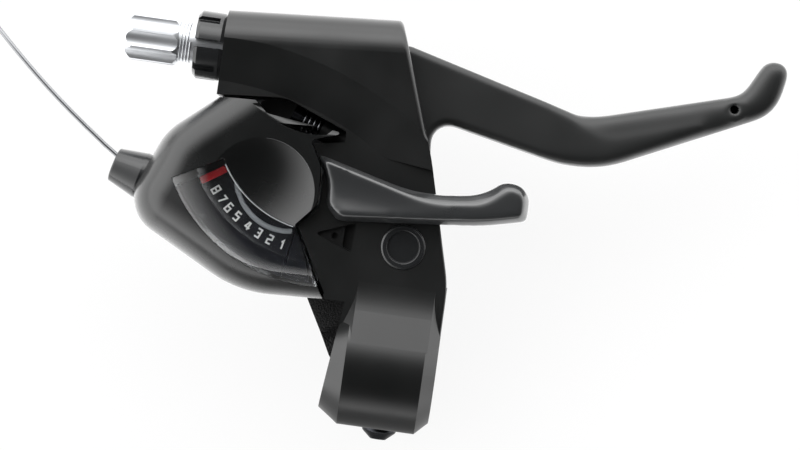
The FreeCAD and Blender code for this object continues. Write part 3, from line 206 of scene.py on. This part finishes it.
# %% [markdown]
# ## Finishes of the metal pieces
#
# The blade is cast aluminium under a satin black coat. The cable adjuster is turned from bare aluminium, so
# its bump is stretched round the axis like the marks of a lathe tool. Screws and pawls are plain or
# blackened steel, the lever turns on a brass bush, and the cable spool is natural acetal.

# %% Metals
# a black skin that is duller than the mouldings, so the blade looks softer than the bracket
satin_coat = grain(finish_material("satin_black_coat", "#161717", IOR=1.5), size=0.6, depth=0.010,
                   strength=0.5, roughness=(0.38, 0.46))
# bright, with lights drawn out round the turning axis
turned_aluminium = grain(finish_material("turned_aluminium", "#c2c4c7", Metallic=1.0), size=0.35, depth=0.010,
                         strength=0.6, roughness=(0.36, 0.46), stretch=(1.0, 0.05, 0.05))
# a cool grey mirror with a little haze
plain_steel = grain(finish_material("zinc_plated_steel", "#b9bbbd", Metallic=1.0), size=0.5, depth=0.006,
                    strength=0.5, roughness=(0.28, 0.4))
# dark metal that still mirrors the light tent
black_steel = grain(finish_material("blackened_steel", "#303134", Metallic=1.0), size=0.5, depth=0.006,
                    strength=0.5, roughness=(0.2, 0.3))
# drawn smooth, so each turn of a spring carries a fine line of light
spring_steel = grain(finish_material("spring_steel", "#6c6d70", Metallic=1.0), size=0.5, depth=0.004,
                     strength=0.5, roughness=(0.16, 0.24))
# warm yellow against the black
brass = grain(finish_material("turned_brass", "#c9a45c", Metallic=1.0), size=0.5, depth=0.005,
              strength=0.5, roughness=(0.25, 0.35))
# a waxy off-white plastic
natural_acetal = grain(finish_material("natural_acetal", "#c9c8c2", IOR=1.48), size=0.6, depth=0.008,
                       strength=0.5, roughness=(0.4, 0.5))
dress(satin_coat, "brake_lever")
dress(turned_aluminium, "barrel_adjuster", "cable_barrel")
dress(black_steel, "clamp_bolt", "reach_screw", "unit_fixing_bolt")
dress(spring_steel, "reach_spring")
dress(brass, "lever_bush")
dress(natural_acetal, "cable_spool")
dress(plain_steel, "thumb_lever_arm", "feed_pawl_post", "feed_pawl", "stop_pawl", "stop_pawl_pin",
      "ratchet_plate", "main_axle", "axle_circlip", "axle_nut", "base_plate", "release_shaft", "release_cam",
      "lever_pivot_pin", "lever_pin_clip", "clamp_nut", "spool_spring", "thumb_spring", "release_spring")

# %% [markdown]
# ## The gear display
#
# A clear moulded window covers a dark printed dial, and a red needle points at the gear. Polycarbonate bends
# light with an index of 1.58. A render has trouble sending lamp light through it, so the window casts no
# shadow and the print below stays lit.

# %% Window, dial and needle
# clear with a sharp reflection, so the dial shows through a light veil
clear_polycarbonate = finish_material("clear_polycarbonate", "#f4f6f7", IOR=1.58, Roughness=0.03,
                                      Transmission_Weight=1.0)
# printed dark blue-black, a shade cooler than the nylon
dial_print = grain(finish_material("dial_print", "#0b0d14", IOR=1.5), size=0.8, depth=0.004,
                   strength=0.4, roughness=(0.3, 0.38))
# coloured right through, with a mild gloss
red_moulding = grain(finish_material("red_moulding", "#d81422", IOR=1.5), size=0.8, depth=0.004,
                     strength=0.4, roughness=(0.3, 0.38))
# flat white with hardly any shine
white_ink = grain(finish_material("white_ink", "#f3f3f1", IOR=1.5), size=0.5, depth=0.004,
                  strength=0.3, roughness=(0.45, 0.55))
dress(clear_polycarbonate, "indicator_window")
dress(dial_print, "indicator_dial")
dress(red_moulding, "indicator_needle")
nodes["indicator_window"].visible_shadow = False

# %% [markdown]
# The window and the cover round it bow down a little towards the outside. The bow is too slight to change
# the outline, but it turns the mirrored light, so it is drawn as a slow bump: the height falls with the
# square of the distance past a ring round the needle's pivot and, past a limit, in a straight line.

# %% Bow of the window and the cover
DISPLAY = Vector((-22.1, 59.0, 0)) * MM
BOW_RING = 31


def bow(material, limit, fall):
    """Lets a surface fall away past the ring: in a curve up to the limit in mm, then straight."""
    tree = material.node_tree
    normal = tree.nodes["Principled BSDF"].inputs["Normal"]
    place = node(tree, "ShaderNodeTexCoord").outputs["Object"]
    offset = node(tree, "ShaderNodeVectorMath", {0: place, 1: DISPLAY}, operation="SUBTRACT").outputs[0]
    flat = node(tree, "ShaderNodeVectorMath", {0: offset, 1: (1, 1, 0)}, operation="MULTIPLY").outputs[0]
    away = node(tree, "ShaderNodeVectorMath", {0: flat}, operation="LENGTH").outputs["Value"]
    beyond = node(tree, "ShaderNodeMath", {0: away, 1: BOW_RING * MM}, operation="SUBTRACT").outputs[0]
    past = node(tree, "ShaderNodeMath", {0: beyond, 1: 0.0}, operation="MAXIMUM").outputs[0]
    curved = node(tree, "ShaderNodeMath", {0: past, 1: limit * MM}, operation="MINIMUM").outputs[0]
    double = node(tree, "ShaderNodeMath", {0: past, 1: 2.0}, operation="MULTIPLY").outputs[0]
    straight = node(tree, "ShaderNodeMath", {0: double, 1: curved}, operation="SUBTRACT").outputs[0]
    drop = node(tree, "ShaderNodeMath", {0: curved, 1: straight}, operation="MULTIPLY").outputs[0]
    height = node(tree, "ShaderNodeMath", {0: drop, 1: -fall}, operation="MULTIPLY").outputs[0]
    bump = node(tree, "ShaderNodeBump", {"Height": height, "Strength": 1.0, "Distance": 1.0})
    finer = normal.links[0].from_node if normal.links else normal.node
    tree.links.new(bump.outputs["Normal"], finer.inputs["Normal"])
    print(material.name, "bows past a ring of mm:", BOW_RING)


bow(pod_nylon, limit=10, fall=13)
bow(clear_polycarbonate, limit=14, fall=30)

# %% [markdown]
# ## The gear numbers
#
# The numbers stand on an arc round the needle's pivot, with their feet outwards. They could be Text objects,
# but pad printing gives even, squared strokes that no plain font has. So each number is a few lines on a
# grid one unit wide and one unit high, drawn with mitred corners.

# %% Strokes of the numbers
number_lines = {
    "1": [[(0.2, 0.78), (0.6, 1), (0.6, 0)]],
    "2": [[(0, 1), (1, 1), (1, 0.55), (0, 0.45), (0, 0), (1, 0)]],
    "3": [[(0, 1), (1, 1), (1, 0), (0, 0)], [(0.25, 0.52), (0.8, 0.52)]],
    "4": [[(0.7, 0), (0.7, 1)], [(0.4, 1), (0, 0.3), (0.5, 0.3)], [(0.9, 0.3), (1.15, 0.3)]],
    "5": [[(1, 1), (0, 1), (0, 0.55), (1, 0.55), (1, 0), (0, 0)]],
    "6": [[(1, 1), (0, 1), (0, 0), (1, 0), (1, 0.55), (0.2, 0.55)]],
    "7": [[(0, 1), (1, 1), (0.35, 0)]],
    "8": [[(0.2, 0.5), (1, 0.5), (1, 0), (0, 0), (0, 1), (1, 1), (1, 0.6)]],
}


def draw_line(bm, spots, width, place):
    """A flat printed line of even width along the spots, with mitred corners."""
    sides = []
    for k, spot in enumerate(spots):
        ways = [(b - a).normalized() for a, b in zip(spots[max(k - 1, 0):k + 1], spots[max(k, 1):k + 2])]
        squares = [Vector((-way.y, way.x, 0)) for way in ways]
        across = sum(squares, Vector()).normalized()
        reach = width / 2 / across.dot(squares[0])
        sides.append([bm.verts.new(place @ (spot + across * reach * side)) for side in (1, -1)])
    for (a, b), (c, d) in zip(sides, sides[1:]):
        bm.faces.new((b, d, c, a))


print("strokes:", sum(len(lines) for lines in number_lines.values()))

# %% [markdown]
# The print lies a hair above the dial, because two faces at one level would flicker. Each number has its own
# angle round the pivot, as their spacing isn't quite even.

# %% Numbers on the dial
DIAL_TOP, INK = 8.8 * MM, 0.04 * MM
NUMBER_RING, NUMBER_WIDTH, NUMBER_HEIGHT, STROKE = 32.8 * MM, 1.1 * MM, 2.05 * MM, 0.42 * MM
number_angles = {"8": 219.1, "7": 224.0, "6": 228.6, "5": 233.8,
                 "4": 240.1, "3": 245.5, "2": 251.2, "1": 257.0}
numbers = bmesh.new()
for text, angle in number_angles.items():
    out = Vector((math.cos(math.radians(angle)), math.sin(math.radians(angle)), 0))
    spot = DISPLAY + out * NUMBER_RING + Vector((0, 0, DIAL_TOP + INK))
    place = Matrix.Translation(spot) @ Matrix.Rotation(math.radians(angle + 90), 4, "Z")
    for stroke in number_lines[text]:
        spots = [Vector(((x - 0.5) * NUMBER_WIDTH, (y - 0.5) * NUMBER_HEIGHT, 0)) for x, y in stroke]
        draw_line(numbers, spots, STROKE, place)
piece("dial_numbers", numbers, white_ink, "bracket_body", smooth=False)
print("dial numbers:", len(number_angles))

# %% [markdown]
# ## Strips that follow a path
#
# A silvery arc lies beside the numbers, a pale strip paints the fine bright line of light on the clear
# window's cut inner edge, and the dish in the cover has a rounded rim. All are thin strips along an arc, and
# the adjuster's thread further down is one along a spiral. Geometry Nodes suit such a sweep: a path, a small
# round profile and a mesh along it. One function builds the tree for either path, with named inputs for
# the sizes.

# %% A tree that sweeps a profile
PROFILE_SIDES = 8


def sweep_tree(name, path_kind, path_inputs):
    """A geometry tree that sweeps a round profile along a path, and the identifiers of its inputs."""
    tree = bpy.data.node_groups.new(name, "GeometryNodeTree")
    tree.interface.new_socket("Geometry", in_out="OUTPUT", socket_type="NodeSocketGeometry")
    kinds = {**path_inputs, "Thickness": "NodeSocketFloat", "Finish": "NodeSocketMaterial"}
    sockets = {label: tree.interface.new_socket(label, in_out="INPUT", socket_type=kind).identifier
               for label, kind in kinds.items()}
    given = node(tree, "NodeGroupInput").outputs
    path = node(tree, path_kind, {label: given[label] for label in path_inputs})
    profile = node(tree, "GeometryNodeCurvePrimitiveCircle", {"Resolution": PROFILE_SIDES,
                                                              "Radius": given["Thickness"]})
    swept = node(tree, "GeometryNodeCurveToMesh", {"Curve": path.outputs["Curve"], "Fill Caps": True,
                                                   "Profile Curve": profile.outputs["Curve"]})
    real = node(tree, "GeometryNodeRealizeInstances", {"Geometry": swept.outputs["Mesh"]})
    painted = node(tree, "GeometryNodeSetMaterial", {"Geometry": real.outputs["Geometry"],
                                                     "Material": given["Finish"]})
    node(tree, "NodeGroupOutput", {"Geometry": painted.outputs["Geometry"]})
    return tree, sockets


arc_tree, arc_sockets = sweep_tree("strip_on_arc", "GeometryNodeCurveArc", {
    "Resolution": "NodeSocketInt", "Radius": "NodeSocketFloat", "Start Angle": "NodeSocketFloat",
    "Sweep Angle": "NodeSocketFloat"})
print("inputs of the strip:", list(arc_sockets))

# %% [markdown]
# A tree runs as a modifier on a carrier object. Its result is kept as a plain mesh, which is then moved to
# its place, and the carrier goes. The strips are pressed flat by a factor where they are print.

# %% Strips along an arc
PATH_POINTS = 48
# metallic ink: a soft grey shine
silver_band = finish_material("silver_band", "#b4b7bb", Metallic=0.3, Roughness=0.4)
# a pale colour that paints the highlight of light on the window's cut edge
window_edge_highlight_paint = finish_material("window_edge_painted_highlight", "#c9ced2", IOR=1.58, Roughness=0.25)


def grown(name, tree, sockets, values, place, material, body):
    """Runs a geometry tree once, keeps the mesh, puts it in its place and lets it ride."""
    carrier = bpy.data.objects.new(name, bpy.data.meshes.new(name))
    bpy.context.scene.collection.objects.link(carrier)
    modifier = carrier.modifiers.new("grow", "NODES")
    modifier.node_group = tree
    for label, value in {**values, "Finish": material}.items():
        modifier[sockets[label]] = value
    carrier.update_tag()
    mesh = bpy.data.meshes.new_from_object(carrier.evaluated_get(bpy.context.evaluated_depsgraph_get()))
    bpy.data.objects.remove(carrier)
    bm = bmesh.new()
    bm.from_mesh(mesh)
    bm.transform(place)
    bpy.data.meshes.remove(mesh)
    made = piece(name, bm, material, body)
    print(made.name, "faces:", len(made.data.polygons))


def arc_strip(name, centre, radius, span, thickness, flatten, material):
    """A strip round a centre in mm, over a span of angles in degrees, pressed flat by a factor."""
    start, end = span
    values = {"Resolution": PATH_POINTS, "Radius": radius * MM, "Start Angle": math.radians(start),
              "Sweep Angle": math.radians(end - start), "Thickness": thickness * MM}
    place = Matrix.Translation(Vector(centre) * MM) @ Matrix.Diagonal((1, 1, flatten, 1))
    grown(name, arc_tree, arc_sockets, values, place, material, "bracket_body")


arc_strip("dial_arc", (-29.9, 43.5, 8.86), radius=13.05, span=(192, 281), thickness=0.65, flatten=0.08,
          material=silver_band)
arc_strip("window_inner_edge_painted_highlight", (-22.1, 59.0, 15.98), radius=27.62, span=(211, 259.5), thickness=0.07,
          flatten=0.4, material=window_edge_highlight_paint)
# the rim bead wears the finger lever's finish, whose grey base colour paints part of its highlight
arc_strip("dish_rim", (-36.2, 39.5, 15.83), radius=13.15, span=(30, 92), thickness=0.16, flatten=1.0,
          material=finger_nylon_painted_sheen)

# %% [markdown]
# The printed sheet runs on to the straight side of the window. This corner lies beyond the dial's own
# sector, so a thin dark plate carries the print there.

# %% Corner of the print
CORNER_UNDER, CORNER_TOP = 8.2, 8.75
rim = [(-26.5, 31.2), (-28.7, 18.9), (-20.2, 18.9)]
corner = bmesh.new()
lower = [corner.verts.new(Vector((x, y, CORNER_UNDER)) * MM) for x, y in rim]
upper = [corner.verts.new(Vector((x, y, CORNER_TOP)) * MM) for x, y in rim]
corner.faces.new(upper)
corner.faces.new(reversed(lower))
for k in range(3):
    corner.faces.new((lower[k], lower[(k + 1) % 3], upper[(k + 1) % 3], upper[k]))
bmesh.ops.recalc_face_normals(corner, faces=corner.faces)
piece("dial_corner", corner, dial_print, "bracket_body", smooth=False)
print("dial corner, mm thick:", round(CORNER_TOP - CORNER_UNDER, 2))

# %% [markdown]
# ## Soft edges of the two levers
#
# The brake blade is cast and then polished before its coat, and the finger lever is a thick moulding, so
# their forms run into each other without a hard line. The solids keep the crisp steps that a drawing has.
# A Bevel modifier rounds edges by one width, but here whole steps have to flow together. So a copy of each
# is merged, meshed evenly and then smoothed: many passes where a finger rests, a few elsewhere. Smoothing
# takes a little off the outer edges and fills the inner corners a little. The copies stand in for the solids
# in the picture, and the solids keep their measures.

# %% Soft copies
WELD = 0.001 * MM


def softened(name, voxel, passes, share, material, body):
    """Replaces a CAD piece by an even copy, smoothed for the share of the passes that a spot asks for."""
    bm = bmesh.new()
    bm.from_mesh(nodes[name].data)
    bm.transform(nodes[name].matrix_world)
    bmesh.ops.remove_doubles(bm, verts=bm.verts, dist=WELD)
    carrier = bpy.data.objects.new(f"{name}_even", bpy.data.meshes.new(f"{name}_even"))
    bm.to_mesh(carrier.data)
    bm.clear()
    bpy.context.scene.collection.objects.link(carrier)
    even = carrier.modifiers.new("even", "REMESH")
    even.mode = "VOXEL"
    even.voxel_size = voxel * MM
    mesh = bpy.data.meshes.new_from_object(carrier.evaluated_get(bpy.context.evaluated_depsgraph_get()))
    bpy.data.objects.remove(carrier)
    bm.from_mesh(mesh)
    bpy.data.meshes.remove(mesh)
    wanted = {v: share(v.co / MM) for v in bm.verts}
    for done in range(passes):
        chosen = [v for v, part in wanted.items() if part * passes > done]
        bmesh.ops.smooth_vert(bm, verts=chosen, factor=0.5, use_axis_x=True, use_axis_y=True,
                              use_axis_z=True)
    made = piece(f"{name}_soft", bm, material, body)
    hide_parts(name)
    print(made.name, "faces:", len(made.data.polygons))


def blade_share(spot):
    """Few passes on the flat arm and round the small hole, all on the finger part."""
    hole_x, hole_y, hole_guard, hole_share = 77.8, 76.1, 3, 0.05
    flat_end, blend, flat_share = 30, 10, 0.08
    if math.hypot(spot.x - hole_x, spot.y - hole_y) < hole_guard:
        return hole_share
    return min(1, max(flat_share, (spot.x - flat_end) / blend))


softened("brake_lever", voxel=0.5, passes=40, share=blade_share, material=satin_coat,
         body="brake_lever_body")
softened("release_lever", voxel=0.35, passes=34, share=lambda spot: 1, material=finger_nylon_painted_sheen,
         body="release_body")

# %% [markdown]
# ## The adjuster's thread
#
# The body of the barrel adjuster has a fine thread, of which three to four turns show between its head and
# the lock nut. A real thread has a pointed profile, but a spiral with a small round one is enough at this
# size. So the sweep is used again, laid along the cable.

# %% Thread
THREAD_START, THREAD_LENGTH, THREAD_PITCH, THREAD_RADIUS, THREAD_HALF = -59.4, 2.9, 0.8, 4.9, 0.28
CABLE_LINE = 74.0
turns = THREAD_LENGTH / THREAD_PITCH
spiral_tree, spiral_sockets = sweep_tree("thread_spiral", "GeometryNodeCurveSpiral", {
    "Resolution": "NodeSocketInt", "Rotations": "NodeSocketFloat", "Start Radius": "NodeSocketFloat",
    "End Radius": "NodeSocketFloat", "Height": "NodeSocketFloat"})
thread_sizes = {"Resolution": PATH_POINTS, "Rotations": turns, "Start Radius": THREAD_RADIUS * MM,
                "End Radius": THREAD_RADIUS * MM, "Height": THREAD_LENGTH * MM,
                "Thickness": THREAD_HALF * MM}
to_start = Matrix.Translation(Vector((THREAD_START, CABLE_LINE, 0)) * MM)
along_cable = to_start @ Matrix.Rotation(math.radians(-90), 4, "Y")
grown("adjuster_thread", spiral_tree, spiral_sockets, thread_sizes, along_cable, turned_aluminium,
      "adjuster_body")
print("thread turns:", round(turns, 1))

# %% [markdown]
# ## The shift wire
#
# A new unit comes with its wire threaded, and most of its two metres hang free. Here the wire leaves the
# outlet in line with the spool's rim, follows the photographed curve and comes down to the surface outside
# the picture. A simulation could lay it, but its start is known from the photograph, so the points of this
# stretch are listed.

# %% Route to the coil
WIRE = 1.2
SPOOL, SPOOL_RADIUS = Vector((-36.2, 39.5, 1.5)), 8
OUTLET_ANGLE = math.radians(165.5)
outlet_way = Vector((math.cos(OUTLET_ANGLE), math.sin(OUTLET_ANGLE), 0))
wire_start = SPOOL + Vector((-outlet_way.y, outlet_way.x, 0)) * SPOOL_RADIUS
route = [wire_start + outlet_way * d for d in (6.5, 20.0, 32.0)]
route += [Vector(p) for p in (
    (-85.4, 51.4, 1.5), (-95.3, 59.3, 1.2), (-104.6, 67.6, 0.4), (-112.6, 75.1, -3.0),
    (-120.3, 82.4, -9.2), (-127.7, 89.4, -16.2), (-133.0, 94.1, -20.6))]
print("points before the coil:", len(route))

# %% [markdown]
# The rest lies in a neat coil of four layers of five turns. A turn steps to its neighbour only after that
# neighbour has moved on, so no two turns run through each other: each layer has its own stretch of the circle
# for its steps.

# %% Turns of the coil
FLOOR = cad_box[0].z / MM
COIL_CENTRE = Vector((-150.7, 84.6, 0))
COIL_RADIUS, COLUMNS, ROWS, SPACING = 14.6, 5, 4, 1.24
COIL_START = 50
POINTS_PER_TURN = 36
TIE = 0.3
STEP_SHARE = 0.9
top_row = FLOOR + TIE + WIRE / 2 + (ROWS - 1) * SPACING
seats = []
for row in range(ROWS):
    columns = range(COLUMNS) if row % 2 else reversed(range(COLUMNS))
    seats += [(row, (column - (COLUMNS - 1) / 2) * SPACING, top_row - row * SPACING) for column in columns]
zone = 360 / (2 * ROWS)
for turn, (row, across, level) in enumerate(seats):
    after = seats[min(turn + 1, len(seats) - 1)]
    step_at = (2 * (ROWS - 1 - row) + (0 if after[0] == row else -1)) * zone + zone / 2
    for k in range(POINTS_PER_TURN):
        angle = 360 * k / POINTS_PER_TURN
        moved = min(1, max(0, (angle - step_at) / (STEP_SHARE * zone)))
        radius = COIL_RADIUS + across + (after[1] - across) * moved
        heading = math.radians(COIL_START + angle)
        height = level + (after[2] - level) * moved
        route.append(COIL_CENTRE + Vector((radius * math.cos(heading), radius * math.sin(heading), height)))
print("turns:", len(seats), "points:", len(route))

# %% [markdown]
# One smooth spline follows the route's points, and its bevel gives the wire its thickness. A curve keeps the
# bends even, where a mesh swept from point to point would show a kink at each.

# %% Wire
# bright drawn steel, darkened a little so that it stands out from the pale floor
wire_steel = grain(finish_material("drawn_wire_steel", "#7c7d7f", Metallic=1.0), size=0.4, depth=0.01,
                   strength=0.5, roughness=(0.24, 0.34))
line = bpy.data.curves.new("shift_wire_free", "CURVE")
line.dimensions = "3D"
line.bevel_depth = WIRE / 2 * MM
line.bevel_resolution = 2
line.resolution_u = 3
line.use_fill_caps = True
spline = line.splines.new("NURBS")
spline.points.add(len(route) - 1)
for point, spot in zip(spline.points, route):
    point.co = (*(spot * MM), 1)
spline.order_u = 3
spline.use_endpoint_u = True
free_wire = bpy.data.objects.new("shift_wire_free", line)
bpy.context.scene.collection.objects.link(free_wire)
line.materials.append(wire_steel)
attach(free_wire, "bracket_body")
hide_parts("shift_wire", "wire_coil")

# %% [markdown]
# A short plastic band holds the turns together. It is a rectangular loop with a thin wall, made in its own
# small frame and then turned to stand across the coil.

# %% Tie
HALF_BAND, INNER_PLAY, OUTER_PLAY = 1.5, 0.02, 0.05
TIE_HEADING = math.radians(COIL_START - 140)
half_wide = (COLUMNS - 1) / 2 * SPACING + WIRE / 2
half_high = (ROWS - 1) / 2 * SPACING + WIRE / 2
tie = bmesh.new()
loops = []
for side in (-HALF_BAND, HALF_BAND):
    for out in (INNER_PLAY, TIE - OUTER_PLAY):
        wide, high = half_wide + out, half_high + out
        corners = [(wide, -high), (wide, high), (-wide, high), (-wide, -high)]
        loops.append([tie.verts.new((x, side, z)) for x, z in corners])
inner_near, outer_near, inner_far, outer_far = loops
around_wall = [inner_near, outer_near, outer_far, inner_far, inner_near]
for a, b in zip(around_wall, around_wall[1:]):
    for k in range(4):
        tie.faces.new((a[k], a[(k + 1) % 4], b[(k + 1) % 4], b[k]))
bmesh.ops.recalc_face_normals(tie, faces=tie.faces)
tie_spot = COIL_CENTRE + Vector((math.cos(TIE_HEADING), math.sin(TIE_HEADING), 0)) * COIL_RADIUS
tie_spot.z = FLOOR + TIE + half_high
to_coil = Matrix.Translation(tie_spot * MM) @ Matrix.Rotation(TIE_HEADING, 4, "Z")
tie.transform(to_coil @ Matrix.Scale(MM, 4))
wire_tie = piece("wire_tie", tie, polished_nylon, "bracket_body", smooth=False)
print("tie, mm:", round(2 * wide, 2), "by", round(2 * high, 2))

# %% [markdown]
# ## The camera
#
# The photograph looks straight down, with the bar turned by eight degrees, and its width covers 200 mm. So
# the camera hangs above the unit, and its focal length follows from the sensor's width, the distance and
# those 200 mm. The Standard view transform shows colours as they are written.

# %% Camera
SENSOR, DISTANCE, PICTURE_WIDTH = 36, 0.695, 0.2
PICTURE_X, PICTURE_Y, PICTURE_LEVEL, ROLL = -1.14, 35.94, 5, 8.0
studio = bpy.context.scene
studio.view_settings.view_transform = "Standard"
camera = bpy.data.objects.new("camera", bpy.data.cameras.new("camera"))
studio.collection.objects.link(camera)
studio.camera = camera
camera.data.sensor_width = SENSOR
camera.data.lens = SENSOR * DISTANCE / PICTURE_WIDTH
camera.location = (PICTURE_X * MM, PICTURE_Y * MM, PICTURE_LEVEL * MM + DISTANCE)
camera.rotation_euler = (0, 0, math.radians(ROLL))
camera.data.clip_start, camera.data.clip_end = 0.05, 10
print("focal length, mm:", round(camera.data.lens, 1))

# %% [markdown]
# ## The floor
#
# A white sheet lies just under the unit and is only staging, not a piece of it.

# %% Sheet
SHEET_GAP, SHEET_HALF = 0.05, 2.0
sheet = bmesh.new()
bmesh.ops.create_grid(sheet, x_segments=1, y_segments=1, size=SHEET_HALF)
paper_mesh = bpy.data.meshes.new("paper_floor")
sheet.to_mesh(paper_mesh)
sheet.free()
paper_floor = bpy.data.objects.new("paper_floor", paper_mesh)
studio.collection.objects.link(paper_floor)
paper_floor.location.z = (FLOOR - SHEET_GAP) * MM
print("floor level, mm:", round(FLOOR - SHEET_GAP, 2))

# %% [markdown]
# A lit sheet would come out grey. So for rays from the camera, and for mirrored and refracted ones, most of
# it is plain white light, and the rest is matt paper that keeps a faint shadow. Glossy black shows what it
# mirrors, so for mirrored rays alone the white isn't even: it runs from a quarter of white behind the clamp
# to 2.4 times white in front of the lever and at both sides.

# %% Glow of the sheet
GLOW_SHARE = 0.88
SIDE_WEIGHT, DIM_END, BRIGHT_END = 0.9, -0.03, 0.06
DIMMER, BRIGHTER = -0.75, 1.4
paper = bpy.data.materials.new("white_paper")
paper.use_nodes = True
tree = paper.node_tree
tree.nodes.clear()
rays = node(tree, "ShaderNodeLightPath").outputs
seen = node(tree, "ShaderNodeMath", {0: rays["Is Camera Ray"], 1: rays["Is Glossy Ray"]},
            operation="MAXIMUM")
seen = node(tree, "ShaderNodeMath", {0: seen.outputs[0], 1: rays["Is Transmission Ray"]},
            operation="MAXIMUM")
share = node(tree, "ShaderNodeMath", {0: seen.outputs[0], 1: GLOW_SHARE}, operation="MULTIPLY")
# matt white: an even tone that only shadows change
matt = node(tree, "ShaderNodeBsdfDiffuse", {"Color": linear("#f2f2f2")})
position = node(tree, "ShaderNodeNewGeometry").outputs["Position"]
spot = node(tree, "ShaderNodeSeparateXYZ", {0: position}).outputs
aside = node(tree, "ShaderNodeMath", {0: spot["X"]}, operation="ABSOLUTE")
around = node(tree, "ShaderNodeMath", {0: aside.outputs[0], 1: SIDE_WEIGHT, 2: spot["Y"]},
              operation="MULTIPLY_ADD")
extra = node(tree, "ShaderNodeMapRange", {"Value": around.outputs[0], "From Min": DIM_END,
                                          "From Max": BRIGHT_END, "To Min": DIMMER, "To Max": BRIGHTER})
blaze = node(tree, "ShaderNodeMath", {0: rays["Is Glossy Ray"], 1: extra.outputs["Result"], 2: 1.0},
             operation="MULTIPLY_ADD")
glow = node(tree, "ShaderNodeEmission", {"Color": (1, 1, 1, 1), "Strength": blaze.outputs[0]})
mixed = node(tree, "ShaderNodeMixShader", {0: share.outputs[0], 1: matt.outputs[0], 2: glow.outputs[0]})
node(tree, "ShaderNodeOutputMaterial", {"Surface": mixed.outputs[0]})
paper_mesh.materials.append(paper)
print("white for mirrored rays, from and to:", 1 + DIMMER, 1 + BRIGHTER)

# %% [markdown]
# ## The light
#
# A light tent that is bright near the horizon and dark overhead leaves the flat tops deep black and draws a
# sheen on every edge that leans outwards. The tent leans: its dark part is shifted to the right and the
# rear, so the left and the front sides are the brighter ones.

# %% Tent
LEAN = (0.38, -0.42, 1.0)
world = bpy.data.worlds.new("light_tent")
studio.world = world
world.use_nodes = True
tree = world.node_tree
tree.nodes.clear()
way = node(tree, "ShaderNodeTexCoord").outputs["Generated"]
lean = node(tree, "ShaderNodeVectorMath", {0: way, 1: LEAN}, operation="DOT_PRODUCT")
tent = node(tree, "ShaderNodeMapRange", {"Value": lean.outputs["Value"], "From Min": 0.25, "From Max": 0.88,
                                         "To Min": 3.5, "To Max": 0.04})
sky = node(tree, "ShaderNodeBackground", {"Color": (1, 1, 1, 1), "Strength": tent.outputs["Result"]})
node(tree, "ShaderNodeOutputWorld", {"Surface": sky.outputs[0]})
print("tent, brightest and darkest:", [round(tent.inputs[k].default_value, 2) for k in ("To Min", "To Max")])

# %% [markdown]
# One large soft box at the front adds a gentle direction. A small lamp would draw hard points of light.

# %% Soft box
BOX_PLACE, BOX_AIM = Vector((0.05, 0.7, 0.6)), Vector((0, 0.03, 0))
lamp = bpy.data.lights.new("front_box", "AREA")
lamp.shape = "RECTANGLE"
lamp.size, lamp.size_y = 0.9, 0.45
lamp.energy = 1.5
front_box = bpy.data.objects.new("front_box", lamp)
studio.collection.objects.link(front_box)
front_box.location = BOX_PLACE
front_box.rotation_euler = (BOX_AIM - BOX_PLACE).to_track_quat("-Z", "Y").to_euler()
print("soft box, W:", lamp.energy)
